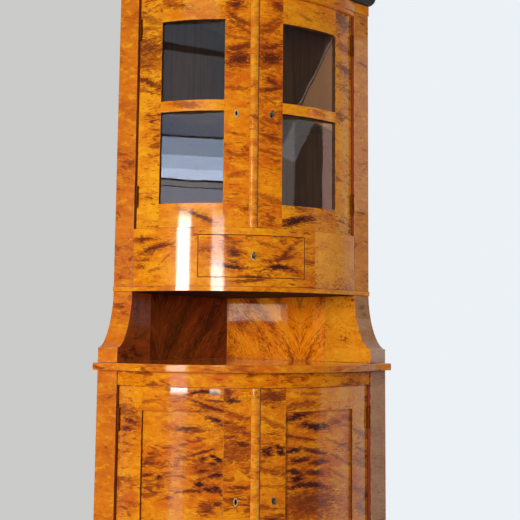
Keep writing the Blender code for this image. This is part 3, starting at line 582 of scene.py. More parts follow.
class Graph:
    """The nodes of a material or of the world, made by short calls."""

    def __init__(self, owner: bpy.types.Material | bpy.types.World) -> None:
        """Start with an empty tree.

        Args:
            owner: the material or world.
        """
        owner.use_nodes = True
        self.owner = owner
        self.tree = owner.node_tree
        self.tree.nodes.clear()

    def node(self, kind: str, inputs: dict | Sequence = (),
             **settings: object) -> bpy.types.NodeOutputs:
        """Add a node.

        Args:
            kind: the node's type.
            inputs: sockets to link or values to set, in order, or by number or name.
            settings: the node's properties.

        Returns:
            The node's outputs.
        """
        made = self.tree.nodes.new(f"ShaderNode{kind}")
        for key, value in settings.items():
            setattr(made, key, value)
        if not isinstance(inputs, dict):
            inputs = dict(enumerate(inputs))
        for key, value in inputs.items():
            if isinstance(value, Socket):
                self.tree.links.new(value, made.inputs[key])
            else:
                made.inputs[key].default_value = value
        return made.outputs

    def maths(self, operation: str, *values: Value) -> Socket:
        """A Math node on up to three values."""
        return self.node("Math", values, operation=operation)[0]

    def vectors(self, operation: str, *values: Value) -> bpy.types.NodeOutputs:
        """A Vector Math node on up to three vectors."""
        return self.node("VectorMath", values, operation=operation)

    def span(self, value: Value, low: float, high: float, to_low: float = 0.0,
             to_high: float = 1.0) -> Socket:
        """A smooth step of a value from one range to another, clamped."""
        return self.node("MapRange", (value, low, high, to_low, to_high),
                         interpolation_type="SMOOTHSTEP")[0]

    def mix(self, amount: Value, a: Value, b: Value) -> Socket:
        """Two colours mixed by an amount, each a socket or red, green and blue to 255."""
        a, b = (linear(tone) if isinstance(tone, tuple) else tone for tone in (a, b))
        return self.node("Mix", {0: amount, 6: a, 7: b}, data_type="RGBA")[2]

    def noise(self, vector: Socket, scale: float = 1.0, detail: float = 2.0,
              roughness: float = 0.5, distortion: float = 0.0) -> bpy.types.NodeOutputs:
        """A noise texture: a value about 0.5, and a colour of three such values."""
        return self.node("TexNoise", {"Vector": vector, "Scale": scale, "Detail": detail,
                                      "Roughness": roughness, "Distortion": distortion})

    def placed(self, vector: Socket, scale: Triple, shift: Triple = (0, 0, 0),
               turn: float = 0.0, kind: str = "POINT") -> Socket:
        """A vector scaled, turned about the map's normal and shifted; TEXTURE undoes it."""
        return self.node("Mapping", {"Vector": vector, "Scale": scale, "Location": shift,
                                     "Rotation": (0, 0, turn)}, vector_type=kind)[0]

    def grained(self, vector: Socket, scale: Triple, detail: float = 2.0,
                roughness: float = 0.5, distortion: float = 0.0, shift: Triple = (0, 0, 0),
                turn: float = 0.0) -> Socket:
        """A noise value whose frequency is set along each axis."""
        return self.noise(self.placed(vector, scale, shift, turn), 1.0, detail, roughness,
                          distortion)[0]

    def warped(self, vector: Socket, scale: float, reach: Triple, detail: float) -> Socket:
        """A vector moved about by noise: v + reach (noise(scale v) - 1/2).

        Args:
            vector: what is moved.
            scale: frequency of the noise, a metre.
            reach: how far it moves along each axis, in metres.
            detail: octaves of the noise.

        Returns:
            The moved vector.
        """
        noise = self.noise(vector, scale, detail)["Color"]
        centred = self.vectors("SUBTRACT", noise, (0.5, 0.5, 0.5))[0]
        return self.vectors("MULTIPLY_ADD", centred, reach, vector)[0]

    def bump(self, height: Socket, strength: float, depth: float) -> Socket:
        """A normal from a height."""
        return self.node("Bump", {"Strength": strength, "Distance": depth, "Height": height})[0]

    def shader(self, **inputs: Value) -> Socket:
        """A Principled shader, with its inputs set by name."""
        return self.node("BsdfPrincipled",
                         {key.replace("_", " "): value for key, value in inputs.items()})[0]

    def finish(self, shader: Socket, kind: str = "OutputMaterial") -> bpy.types.Material:
        """Link a shader to the output, and hand back what the nodes belong to."""
        self.node(kind, (shader,))
        return self.owner

    @property
    def place(self) -> Socket:
        """The piece's own coordinates, in metres."""
        return self.node("TexCoord")["Object"]

    def veneer_map(self, seed: float) -> Socket:
        """The piece's map in metres: along, up, and a seed that no other leaf has."""
        return self.vectors("ADD", self.node("UVMap", uv_map="UVMap")[0], (0, 0, seed))[0]


# --------------------------------------------------------------------------- finishes

@dataclass(frozen=True)
class Finish:
    """A finish: the material's name, and nodes that each kind draws in its own way."""

    name: str

    def build(self) -> bpy.types.Material:
        """Make the material."""
        return self.draw(Graph(bpy.data.materials.new(self.name)))

    def draw(self, graph: Graph) -> bpy.types.Material:
        """Draw the nodes and hand back the material."""
        raise NotImplementedError


@dataclass(frozen=True)
class Stroke:
    """A single dark swoosh of the figure: centre, half size, turn, bend and depth of colour."""

    u: float
    v: float
    length: float
    height: float
    turn: float
    bend: float     # curves the stroke, in heights at its ends
    dark: float     # 0.3 a soft red-brown shade, 1 nearly black


def strokes(*rows: tuple[int, ...]) -> tuple[Stroke, ...]:
    """Strokes from rows: four lengths in tenths of a millimetre, then hundredths."""
    units = (10000,) * 4 + (100,) * 3
    return tuple(Stroke(*(value / unit for value, unit in zip(row, units))) for row in rows)


@dataclass(frozen=True)
class Veneer(Finish):
    """Flame birch under polish: golden ground, clouds, cross flames and dashes, upright grain."""

    ground: Triple = (230, 144, 10)
    warm: Triple = (200, 90, 6)
    pale: Triple = (246, 180, 26)
    flame: Triple = (138, 56, 10)
    core: Triple = (46, 19, 15)
    cloud: float = 0.85         # strength of the broad change of tone
    flames: float = 0.50        # share covered by flames
    dashes: float = 0.50        # share covered by short fine dashes
    length: float = 0.024       # of a flame, across the grain
    height: float = 0.0065      # of a flame, up the grain
    tilt: float = 0.10
    sway: float = 0.030         # how far the figure wanders up and down
    curl: float = 0.009         # how far it curls over a few centimetres
    veins: float = 0.6          # strength of thin curly lines
    strokes: tuple[Stroke, ...] = ()
    seed: float = 0.0
    shine: float = 0.065        # roughness of the polish
    coat: float = 1.0

    def drawn(self, graph: Graph, place: Socket) -> tuple[Value, Value, Value]:
        """The single strokes: r is the length of (x / length, (y + bend x^2) / height).

        Args:
            graph: the material's nodes.
            place: the map in metres.

        Returns:
            How red-brown and how dark the strokes make each place, and how near it is to one.
        """
        soft, dark, halo = 0.0, 0.0, 0.0
        torn = graph.grained(place, (75, 200, 1), 5.0, 0.70, 0.5, (6, 2, 0))
        fray = graph.maths("MULTIPLY_ADD", torn, 3.6, -1.8)
        for stroke in self.strokes:
            local = graph.placed(place, (stroke.length * 1.25, stroke.height * 1.5, 1),
                                 (stroke.u, stroke.v, 0), stroke.turn, "TEXTURE")
            x, y, _ = graph.node("SeparateXYZ", (local,))
            square = graph.maths("MULTIPLY", x, x)
            across = graph.maths("MULTIPLY_ADD", square, -2.0 * stroke.bend, y)
            reach = graph.maths("SQRT", graph.maths("MULTIPLY_ADD", across, across, square))
            reach = graph.maths("ADD", reach, fray)
            depth = min(1.0, stroke.dark + 0.35)
            soft = graph.maths("MAXIMUM", soft, graph.span(reach, 1.45, 0.75, 0.0, depth))
            if stroke.dark > 0.42:
                halo = graph.maths("MAXIMUM", halo, graph.span(reach, 3.0, 0.9))
            if stroke.dark > 0.5:
                depth = min(1.0, 2.0 * stroke.dark - 0.72)
                dark = graph.maths("MAXIMUM", dark, graph.span(reach, 1.0, 0.40, 0.0, depth))
        return soft, dark, halo

    def combed(self, graph: Graph, vector: Socket) -> Socket:
        """The vector that the figure follows: in plain leaves the map itself."""
        return vector

    def ground_tone(self, graph: Graph, wavy: Socket) -> Socket:
        """Clouds, pale patches and mottle on the ground.

        Args:
            graph: the material's nodes.
            wavy: the vector that the figure follows.

        Returns:
            The colour under the figure.
        """
        broad = graph.grained(wavy, (9, 17, 1), 3.5, 0.62, 0.5, (self.seed, 1, 0))
        colour = graph.mix(graph.span(broad, 0.40, 0.68, 0.0, self.cloud), self.ground, self.warm)
        light = graph.grained(wavy, (30, 60, 1), shift=(3, self.seed, 0), turn=self.tilt)
        colour = graph.mix(graph.span(light, 0.50, 0.72, 0.0, 0.50), colour, self.pale)
        mottle = graph.grained(wavy, (52, 100, 1), 3.0, 0.65, 0.6, (8, self.seed, 0))
        return graph.mix(graph.span(mottle, 0.46, 0.70, 0.0, 0.6), colour, self.warm)

    def draw(self, graph: Graph) -> bpy.types.Material:
        """Lay the figure over the ground, the grain over both, and polish over all.

        Args:
            graph: the material's nodes.

        Returns:
            The finished material.
        """
        place = graph.veneer_map(self.seed)
        curled = graph.warped(place, 34.0, (0.8 * self.curl, self.curl, 0.0), 2.5)
        wavy = self.combed(graph, graph.warped(curled, 9.0, (0.4 * self.sway, self.sway, 0.0),
                                               1.5))
        colour = self.ground_tone(graph, wavy)

        gather = graph.grained(wavy, (7, 11, 1), shift=(0, 5, 0))
        gather = graph.maths("MULTIPLY_ADD", gather, 0.75, -0.375)
        ragged = graph.grained(wavy, (60, 240, 1), 4.0, 0.68, 0.5, (1, 1, 0), self.tilt)
        size = (0.5 / self.length, 0.5 / self.height, 1)
        marks = graph.grained(wavy, size, 3.5, 0.64, 0.7, turn=self.tilt)
        drive = graph.maths("ADD", marks, gather)
        edge = 0.67 - 0.20 * self.flames
        flame = graph.span(drive, edge, edge + 0.09, 0.0, 0.84)
        deep = graph.span(drive, edge + 0.10, edge + 0.24, 0.0, 0.80)
        fine = (0.5 / (0.36 * self.length), 0.5 / (0.36 * self.height), 1)
        ticks = graph.grained(wavy, fine, 2.0, 0.5, 0.5, (4, 4, 0), self.tilt)
        ticks = graph.maths("MULTIPLY_ADD", gather, 0.5, ticks)
        edge = 0.72 - 0.20 * self.dashes
        dash = graph.span(ticks, edge, edge + 0.06, 0.0, 0.72)
        threads = graph.grained(wavy, (40, 105, 1), 1.5, shift=(2, 7, 0), turn=self.tilt)
        threads = graph.maths("ABSOLUTE", graph.maths("SUBTRACT", threads, 0.5))
        thread = graph.maths("MULTIPLY", graph.span(threads, 0.0, 0.022, self.veins, 0.0),
                             graph.span(gather, -0.03, 0.06))
        shade = graph.span(graph.maths("ADD", ragged, gather), 0.42, 0.70, 0.0, 0.55)
        frayed = graph.warped(place, 70.0, (0.012, 0.0075, 0.0), 3.0)
        soft, dark, halo = self.drawn(graph, frayed)
        nearby = graph.maths("MULTIPLY", halo, graph.span(ragged, 0.46, 0.58, 0.0, 0.9))

        colour = graph.mix(shade, colour, self.warm)
        figure = graph.maths("MAXIMUM", graph.maths("MAXIMUM", flame, dash), thread)
        colour = graph.mix(graph.maths("MAXIMUM", figure, nearby), colour, self.flame)
        streaky = graph.span(ragged, 0.34, 0.56, 0.6, 1.0)
        colour = graph.mix(graph.maths("MULTIPLY", soft, streaky), colour, self.flame)
        dense = graph.span(ragged, 0.30, 0.50, 0.78, 1.0)
        colour = graph.mix(graph.maths("MAXIMUM", deep, graph.maths("MULTIPLY", dark, dense)),
                           colour, self.core)

        grain = graph.grained(wavy, (700, 22, 1), 3.0, 0.6)
        colour = graph.mix(graph.span(grain, 0.25, 0.75, 0.12, 0.0), colour, self.flame)
        waves = graph.grained(place, (9, 5, 1), 1.0)
        worn = graph.grained(place, (30, 18, 1), 3.0, 0.6)
        return graph.finish(graph.shader(
            Base_Color=colour, Roughness=graph.span(worn, 0.3, 0.7, 0.26, 0.36),
            Specular_IOR_Level=0.04, Coat_Weight=self.coat, Coat_Roughness=self.shine,
            Coat_IOR=1.48, Normal=graph.bump(grain, 0.06, 0.0003),
            Coat_Normal=graph.bump(waves, 0.08, 0.004)))


@dataclass(frozen=True)
class Feather(Veneer):
    """Crotch veneer, whose figure rises from an upright line like the barbs of a feather."""

    axis: float = 0.342         # of the feather's line, along the map
    rise: float = 0.80          # how steeply the barbs climb

    def combed(self, graph: Graph, vector: Socket) -> Socket:
        """The map bent so that the figure climbs: (d, v - rise d^0.75), with d = |u - axis|.

        Args:
            graph: the material's nodes.
            vector: the map in metres.

        Returns:
            The bent map.
        """
        u, v, seed = graph.node("SeparateXYZ", (vector,))
        away = graph.maths("ABSOLUTE", graph.maths("SUBTRACT", u, self.axis))
        climb = graph.maths("MULTIPLY_ADD", graph.maths("POWER", away, 0.75), -self.rise, v)
        return graph.node("CombineXYZ", (away, climb, seed))[0]


@dataclass(frozen=True)
class Arris(Finish):
    """Edge of a veneered board in two tones, paler and duller than the face beside it; the dark
    arris's tones are painted shade along gaps.
    """

    bright: Triple = (216, 140, 56)
    dull: Triple = (120, 58, 18)

    def draw(self, graph: Graph) -> bpy.types.Material:
        """Patches in two tones, under a thin polish.

        Args:
            graph: the material's nodes.

        Returns:
            The finished material.
        """
        place = graph.veneer_map(0.0)
        worn = graph.grained(place, (60, 60, 1), 3.0, 0.6)
        fine = graph.grained(place, (500, 500, 1), 2.0, 0.6)
        return graph.finish(graph.shader(
            Base_Color=graph.mix(graph.span(worn, 0.35, 0.62), self.dull, self.bright),
            Roughness=graph.span(fine, 0.3, 0.7, 0.35, 0.5), Specular_IOR_Level=0.15,
            Coat_Weight=0.25, Coat_Roughness=0.2, Normal=graph.bump(fine, 0.1, 0.0003)))


@dataclass(frozen=True)
class Plank(Finish):
    """Plain sawn wood of the inside and the back: long grain lines, faint rings, a dull skin."""

    ground: Triple
    line: Triple
    axis: Triple = (90.0, 90.0, 3.0)
    rough: float = 0.62

    def draw(self, graph: Graph) -> bpy.types.Material:
        """Rings, hairs and broad patches of the line's tone on the ground.

        Args:
            graph: the material's nodes.

        Returns:
            The finished material.
        """
        place = graph.place
        rings = graph.grained(place, self.axis, 3.0, 0.6, 0.6)
        hairs = graph.grained(place, tuple(8 * value for value in self.axis), 3.0, 0.7)
        broad = graph.noise(place, 5.0, 3.0, 0.6)[0]
        colour = graph.mix(graph.span(rings, 0.42, 0.66, 0.0, 0.6), self.ground, self.line)
        colour = graph.mix(graph.span(hairs, 0.45, 0.75, 0.0, 0.35), colour, self.line)
        colour = graph.mix(graph.span(broad, 0.35, 0.70, 0.0, 0.30), colour, self.line)
        return graph.finish(graph.shader(
            Base_Color=colour, Specular_IOR_Level=0.3, Coat_Weight=0.0, Coat_Roughness=0.25,
            Roughness=graph.span(broad, 0.3, 0.7, self.rough, self.rough + 0.12),
            Normal=graph.bump(graph.maths("ADD", rings, hairs), 0.2, 0.0006)))


@dataclass(frozen=True)
class Ebonised(Finish):
    """Black-stained, waxed moulding with a trace of grain and dust in the pores."""

    def draw(self, graph: Graph) -> bpy.types.Material:
        """Level grain in two blacks, with dust over it.

        Args:
            graph: the material's nodes.

        Returns:
            The finished material.
        """
        place = graph.place
        grain = graph.grained(place, (24, 24, 420), 3.0, 0.6)
        dust = graph.noise(place, 60.0, 4.0, 0.65)[0]
        colour = graph.mix(graph.span(grain, 0.4, 0.7), (16, 17, 14), (28, 28, 22))
        colour = graph.mix(graph.span(dust, 0.55, 0.8, 0.0, 0.4), colour, (48, 46, 34))
        return graph.finish(graph.shader(
            Base_Color=colour, Roughness=graph.span(dust, 0.3, 0.7, 0.34, 0.50),
            Specular_IOR_Level=0.25, Coat_Weight=0.2, Coat_Roughness=0.2,
            Normal=graph.bump(grain, 0.15, 0.0005)))


@dataclass(frozen=True)
class Metal(Finish):
    """Old metal: a worn bright skin with darker tarnish in broad and fine patches."""

    bright: Triple
    tarnish: Triple
    rough: float
    cover: float
    centre: Triple | None = None    # of an oval plate's dark middle: painted shade of the keyhole

    def draw(self, graph: Graph) -> bpy.types.Material:
        """Tarnish on the skin; painted keyhole shade fills the oval |((x, y) / 4.3 mm, z / 9 mm)|
        < 1.

        Args:
            graph: the material's nodes.

        Returns:
            The finished material.
        """
        place = graph.place
        fine = graph.noise(place, 900.0, 3.0, 0.7)[0]
        spots = graph.maths("ADD", graph.noise(place, 160.0, 4.0, 0.65)[0],
                            graph.maths("MULTIPLY", fine, 0.3))
        colour = graph.mix(graph.span(spots, 0.55, 0.80, 0.0, self.cover),
                           self.bright, self.tarnish)
        if self.centre:
            local = graph.placed(place, (0.0043, 0.0043, 0.0090), self.centre, kind="TEXTURE")
            reach = graph.vectors("LENGTH", local)["Value"]
            # painted shade of the keyhole: a near-black oval in the plate's middle
            colour = graph.mix(graph.span(reach, 0.80, 1.05, 0.96, 0.0), colour, (22, 14, 10))
        return graph.finish(graph.shader(
            Base_Color=colour, Metallic=1.0,
            Roughness=graph.span(spots, 0.5, 0.85, self.rough, self.rough + 0.25),
            Normal=graph.bump(fine, 0.12, 0.0003)))


@dataclass(frozen=True)
class PaneGlass(Finish):
    """Old drawn glass: nearly clear, faintly grey, its faces gently wavy."""

    def draw(self, graph: Graph) -> bpy.types.Material:
        """Glass to the eye, and clear to the light that enters.

        Args:
            graph: the material's nodes.

        Returns:
            The finished material.
        """
        place = graph.place
        ripple = graph.grained(place, (7, 7, 3))
        film = graph.noise(place, 22.0, 4.0, 0.6)[0]
        glass = graph.shader(Base_Color=linear((214, 222, 220)), Transmission_Weight=1.0,
                             IOR=1.5, Roughness=graph.span(film, 0.4, 0.8, 0.0, 0.035),
                             Normal=graph.bump(ripple, 0.08, 0.003))
        clear = graph.node("BsdfTransparent", (linear((186, 194, 196)),))[0]
        shadow = graph.node("LightPath")["Is Shadow Ray"]
        return graph.finish(graph.node("MixShader", (shadow, glass, clear))[0])


@dataclass(frozen=True)
class Plaster(Finish):
    """The pale floor of the studio."""

    def draw(self, graph: Graph) -> bpy.types.Material:
        """Two pale tones in broad patches.

        Args:
            graph: the material's nodes.

        Returns:
            The finished material.
        """
        tone = graph.span(graph.noise(graph.place, 2.0, 3.0)[0], 0.3, 0.7)
        return graph.finish(graph.shader(
            Base_Color=graph.mix(tone, (226, 226, 228), (232, 232, 233)), Roughness=0.9))


UPPER_STILE_STROKES = strokes(
    (-3524, 18401, 382, 151, -1, 0, 55), (-3570, 17958, 386, 201, -31, 0, 35),
    (-3565, 18623, 307, 50, 7, 30, 50), (-3534, 17289, 426, 58, -44, 0, 60),
    (-3597, 16996, 289, 33, -35, 0, 40), (-3487, 19316, 324, 84, -47, 30, 35),
    (-3556, 19057, 289, 51, -4, 0, 30), (3491, 18154, 299, 87, -17, 0, 60),
    (3437, 18872, 295, 70, -16, 0, 45), (3541, 17454, 245, 52, -6, 0, 40),
    (3383, 19836, 323, 175, -47, 0, 60),
)
UPPER_MEETING_STROKES = strokes(
    (-481, 17907, 338, 131, 14, -20, 85), (-501, 18266, 359, 65, 23, 40, 70),
    (-532, 18083, 256, 49, 11, 30, 60), (-527, 17708, 319, 49, -6, 0, 50),
    (-497, 19186, 384, 49, -49, 50, 55), (-511, 18986, 344, 41, -57, 40, 50),
    (-616, 19706, 192, 99, 4, 0, 85), (-581, 16941, 257, 41, -16, 20, 40),
    (-506, 18593, 324, 33, -16, 30, 40), (544, 17982, 335, 148, 1, 20, 90),
    (575, 18365, 346, 58, 25, 50, 70), (492, 18141, 285, 49, 10, 30, 60),
    (545, 17785, 307, 49, 21, 0, 50), (554, 16984, 376, 49, 22, 30, 75),
    (565, 17243, 195, 57, -33, 0, 75), (518, 18937, 328, 50, 53, 50, 50),
    (532, 19153, 274, 41, 55, 40, 50), (797, 19751, 169, 100, -62, 0, 60),
    (555, 16672, 305, 33, 20, 20, 35), (-500, 15476, 290, 32, -19, 0, 35),
    (571, 14922, 308, 40, -25, 0, 40), (-500, 14197, 276, 48, 26, 0, 35),
    (601, 13433, 328, 64, -29, 0, 40),
)
UPPER_RAIL_STROKES = strokes(
    (1478, 12804, 582, 80, 29, -25, 95), (1250, 12802, 270, 48, 24, 0, 80),
    (1660, 13200, 222, 65, -7, 0, 45), (-1611, 12828, 327, 41, -39, 0, 70),
    (-857, 12765, 78, 47, -92, 0, 50), (-2735, 19785, 350, 67, -30, 0, 45),
    (-2192, 16435, 316, 65, -10, 0, 40), (2222, 16452, 206, 42, -17, 0, 40),
    (1735, 19541, 197, 34, -24, 0, 30),
)
APRON_STROKES = strokes(
    (-3579, 12144, 335, 35, 1, 0, 60), (-3608, 12128, 75, 64, -4, 0, 70),
    (-3157, 11867, 400, 54, 28, -20, 70), (-3403, 11668, 136, 28, 4, 0, 50),
    (-3518, 11498, 158, 29, 2, 0, 50), (-3689, 11289, 123, 35, 10, 0, 50),
    (-2763, 11532, 173, 19, 76, 0, 40), (-3116, 11182, 179, 31, 25, 0, 35),
    (1910, 11483, 132, 48, -7, 0, 50), (-102, 10849, 393, 37, 10, 0, 55),
)
DRAWER_STROKES = strokes(
    (-679, 12080, 229, 47, -48, 0, 40), (-601, 11707, 205, 78, -37, 20, 75),
    (-646, 11427, 115, 37, -12, 0, 60), (-606, 11258, 361, 46, -16, 30, 85),
    (-118, 10957, 408, 37, 10, 0, 60), (1072, 11705, 242, 47, 80, 0, 60),
    (897, 11290, 452, 56, -2, -50, 85), (858, 11516, 358, 39, 21, 30, 60),
    (1433, 12079, 175, 32, 43, 0, 40), (489, 11972, 218, 31, -25, 0, 35),
    (-1356, 11777, 144, 25, -21, 0, 30), (1422, 11175, 213, 32, 11, 0, 40),
)
BASE_STILE_STROKES = strokes(
    (-4075, 6782, 320, 75, -18, 0, 45), (-3898, 6527, 230, 48, -29, 0, 70),
    (-4053, 6303, 156, 54, -3, 0, 75), (-4164, 4794, 238, 44, 1, 0, 50),
    (-3832, 4112, 113, 44, -16, 0, 40), (-4080, 5852, 237, 30, -11, 0, 30),
    (3977, 6065, 352, 47, -40, 0, 50), (4001, 5137, 322, 47, -41, 0, 45),
    (3914, 4306, 332, 47, -32, 0, 50), (4024, 3716, 306, 62, -51, 0, 45),
)
BASE_MEETING_STROKES = strokes(
    (-825, 7458, 89, 117, 1, 0, 60), (-719, 7224, 192, 58, 1, 0, 80),
    (-537, 5784, 385, 174, 11, -20, 50), (-363, 5958, 213, 58, -21, 0, 75),
    (-407, 4704, 265, 32, -1, 0, 70), (-315, 4380, 177, 17, -6, 0, 50),
    (-580, 6787, 319, 44, -37, 30, 45), (-664, 6409, 208, 44, 14, 0, 40),
    (550, 7351, 328, 118, 3, 0, 60), (340, 5800, 170, 50, 35, 20, 95),
    (370, 5690, 140, 70, 10, 0, 95), (730, 5840, 180, 50, -30, 30, 100),
    (790, 5700, 130, 60, -20, 0, 90), (553, 5141, 318, 44, -22, 0, 45),
    (587, 4720, 311, 29, -9, 0, 40), (540, 6542, 307, 59, -41, 30, 40),
)
BASE_RAIL_STROKES = strokes(
    (-1548, 7486, 486, 38, 3, -120, 95), (-1370, 7042, 456, 29, -31, 20, 75),
    (-1338, 7006, 348, 26, -18, 0, 70), (-1237, 7227, 240, 23, -14, 0, 60),
    (-3309, 7156, 210, 30, 15, 0, 35), (1350, 7069, 440, 60, 7, 0, 50),
    (1723, 7418, 320, 36, -7, 0, 40),
)
PANEL_STROKES = strokes(
    (-1172, 6658, 224, 50, -39, -30, 95), (-2027, 6369, 307, 44, 1, 0, 70),
    (-1691, 6327, 243, 29, 14, 0, 55), (-1546, 5712, 295, 29, 30, 0, 65),
    (-1122, 5532, 171, 46, -57, -20, 90), (-1527, 5510, 119, 58, 8, 0, 80),
    (-1242, 5371, 104, 38, -5, 0, 75), (-1521, 5170, 152, 38, 22, 0, 75),
    (-1155, 5054, 199, 52, 12, 0, 85), (-1218, 4671, 269, 60, -15, -70, 100),
    (-1844, 4588, 393, 26, 9, 0, 65), (-1634, 4778, 120, 72, 15, 0, 90),
    (-3297, 4958, 152, 35, 23, 0, 70), (-2896, 4905, 89, 44, 40, 0, 85),
    (-3357, 5298, 109, 38, 49, 0, 60), (-3333, 4756, 122, 23, 8, 0, 50),
    (-1400, 4066, 168, 100, 28, 0, 60), (-1078, 4215, 133, 43, -10, 0, 70),
    (-2163, 5512, 185, 44, -4, 0, 35), (-2139, 5920, 94, 29, 19, 0, 35),
    (-2641, 4325, 199, 23, 29, 0, 30), (1384, 6753, 439, 66, 19, -40, 95),
    (1959, 6408, 429, 75, -15, 20, 90), (1429, 6089, 434, 36, -18, 0, 60),
    (1221, 5730, 218, 59, 16, 0, 85), (1960, 5658, 399, 45, -25, 0, 70),
    (1410, 5425, 306, 59, 9, 0, 80), (2087, 5336, 300, 60, 3, 0, 75),
    (1259, 5094, 260, 59, -28, 0, 85), (1978, 5015, 336, 60, -17, 0, 75),
    (1732, 4695, 698, 74, -7, -90, 100), (1344, 4884, 235, 74, 6, 0, 90),
    (1720, 4159, 671, 235, 2, 0, 55), (2899, 5833, 378, 31, -36, 0, 40),
    (2990, 5350, 393, 31, -41, 0, 40), (2921, 4900, 367, 30, -44, 0, 40),
    (3010, 6455, 360, 31, -32, 0, 30),
)


class Leaf(Enum):
    """The cabinet's veneers and other finishes."""

    STILE = Veneer("flame_stile", ground=(240, 164, 20), warm=(220, 122, 14), dashes=0.65,
                   strokes=UPPER_STILE_STROKES, seed=1.3)
    MEETING = Veneer("flame_meeting_stile", ground=(234, 142, 10), warm=(206, 88, 6),
                     flame=(144, 56, 8), core=(84, 32, 12), dashes=0.70, flames=0.42,
                     strokes=UPPER_MEETING_STROKES, seed=4.1)
    RAIL = Veneer("flame_rail", ground=(236, 154, 16), warm=(214, 108, 10), flames=0.25,
                  dashes=0.35, strokes=UPPER_RAIL_STROKES, shine=0.080, seed=2.7)
    BASE_STILE = Veneer("flame_base_stile", strokes=BASE_STILE_STROKES, shine=0.11, seed=14.2)
    BASE_MEETING = Veneer("flame_base_meeting_stile", flames=0.55,
                          strokes=BASE_MEETING_STROKES, seed=15.1)
    BASE_RAIL = Veneer("flame_base_rail", flames=0.35, strokes=BASE_RAIL_STROKES, shine=0.05,
                       seed=16.7)
    PILASTER = Veneer("flame_pilaster", ground=(214, 118, 16), warm=(182, 82, 10), flames=0.30,
                      dashes=0.3, tilt=0.5, length=0.024, height=0.010, cloud=0.55, seed=8.2)
    # Paler, pinkish copy of the pilaster veneer for the upper right post: a painted reflection of
    # the pale wall beside it.
    RIGHT_POST_PAINTED_REFLECTION = Veneer("flame_right_post_painted_reflection", ground=(210, 130, 52), warm=(176, 98, 38),
                        flames=0.18, dashes=0.25, tilt=1.2, length=0.030, height=0.008,
                        cloud=0.4, veins=0.3, seed=8.9)
    APRON = Veneer("flame_apron", ground=(236, 152, 14), warm=(212, 104, 8), flames=0.35,
                   dashes=0.35, strokes=APRON_STROKES, tilt=0.3, shine=0.085, seed=5.9)
    RIGHT_APRON = Veneer("flame_right_apron", ground=(234, 154, 40), warm=(212, 116, 30),
                         flames=0.32, dashes=0.75, tilt=-0.6, length=0.014, height=0.0045,
                         cloud=0.8, veins=0.5, seed=5.2)
    DRAWER = Veneer("flame_drawer", ground=(236, 146, 10), flames=0.40, dashes=0.4,
                    strokes=DRAWER_STROKES, tilt=0.15, shine=0.085, seed=7.4)
    PANEL = Veneer("flame_panel", ground=(226, 138, 8), flames=0.38, dashes=0.45,
                   strokes=PANEL_STROKES, shine=0.11, seed=9.6)
    SLAB = Veneer("flame_slab", ground=(220, 134, 12), flames=0.55, length=0.05, cloud=0.9,
                  seed=3.2)
    CHEEK = Veneer("flame_cheek", ground=(220, 128, 24), flames=0.3, dashes=0.3, seed=6.6)
    # Darker, greyish pink copy of the veneer for the right cheek's face and the base's right
    # post: painted shade, with a painted reflection of the pale wall.
    RIGHT_CHEEK_PAINTED_SHADE = Veneer("flame_right_cheek_painted_shade", ground=(174, 124, 82), warm=(146, 94, 60),
                         pale=(190, 136, 84), flame=(118, 66, 38), flames=0.22, dashes=0.25,
                         cloud=0.5, seed=6.9)
    NICHE_SIDE = Veneer("flame_niche_side", ground=(242, 160, 34), warm=(222, 118, 14),
                        pale=(252, 190, 50), flames=0.3, dashes=0.45, length=0.014,
                        height=0.005, cloud=0.6, coat=0.5, seed=21.0)
    # Darker copy of the niche side veneer, for the left cheek's inner face: painted shade.
    NICHE_PAINTED_SHADE_SIDE = Veneer("flame_niche_painted_shade_side", ground=(204, 100, 42),
                             warm=(152, 70, 28), pale=(190, 100, 38), flame=(96, 38, 14),
                             flames=0.3, dashes=0.2, coat=0.10, seed=22.0)
    BEAD = Veneer("flame_bead", ground=(236, 158, 34), flames=0.25, dashes=0.4, coat=0.7,
                  seed=11.0)
    BAND = Veneer("flame_band", flames=0.45, dashes=0.3, cloud=0.9, seed=12.0)
    LOW_BAND = Veneer("flame_low_band", ground=(220, 136, 12), flames=0.72, dashes=0.55,
                      cloud=0.9, coat=0.08, seed=25.0)
    # Darker copy of the feather veneer, for the left back board in the niche: painted shade.
    NICHE_LEFT_PAINTED_SHADE = Feather("feather_niche_left_painted_shade", axis=0.20, rise=1.0, ground=(156, 72, 24),
                         warm=(112, 44, 16), pale=(196, 96, 30), flame=(70, 26, 12),
                         core=(40, 16, 10), flames=0.7, dashes=0.6, length=0.011,
                         height=0.0048, curl=0.020, shine=0.04, coat=0.6, seed=13.0)
    NICHE_RIGHT = Feather("feather_niche_right", ground=(250, 148, 14), warm=(230, 112, 8),
                          pale=(255, 198, 70), flame=(146, 52, 6), core=(88, 32, 8),
                          flames=0.90, dashes=0.70, length=0.0065, height=0.0026, curl=0.014,
                          sway=0.018, shine=0.03, seed=17.0)
    # Faces of the soffit board: a dark stain, with painted shade of the niche's ceiling.
    UNDERSIDE = Plank("stain_and_painted_shade_underside", (52, 28, 16), (34, 18, 12), (24.0, 90.0, 90.0), 0.7)
    REVEAL = Plank("shadowed_reveal", (132, 50, 18), (84, 30, 12), (300.0, 300.0, 8.0), 0.45)
    # Walls of the openings and end faces of the boards: painted shade, a near-black brown.
    EDGE = Plank("painted_shade_edge", (84, 40, 14), (48, 22, 10), (200.0, 200.0, 30.0), 0.6)
    ARRIS = Arris("two_tone_arris")
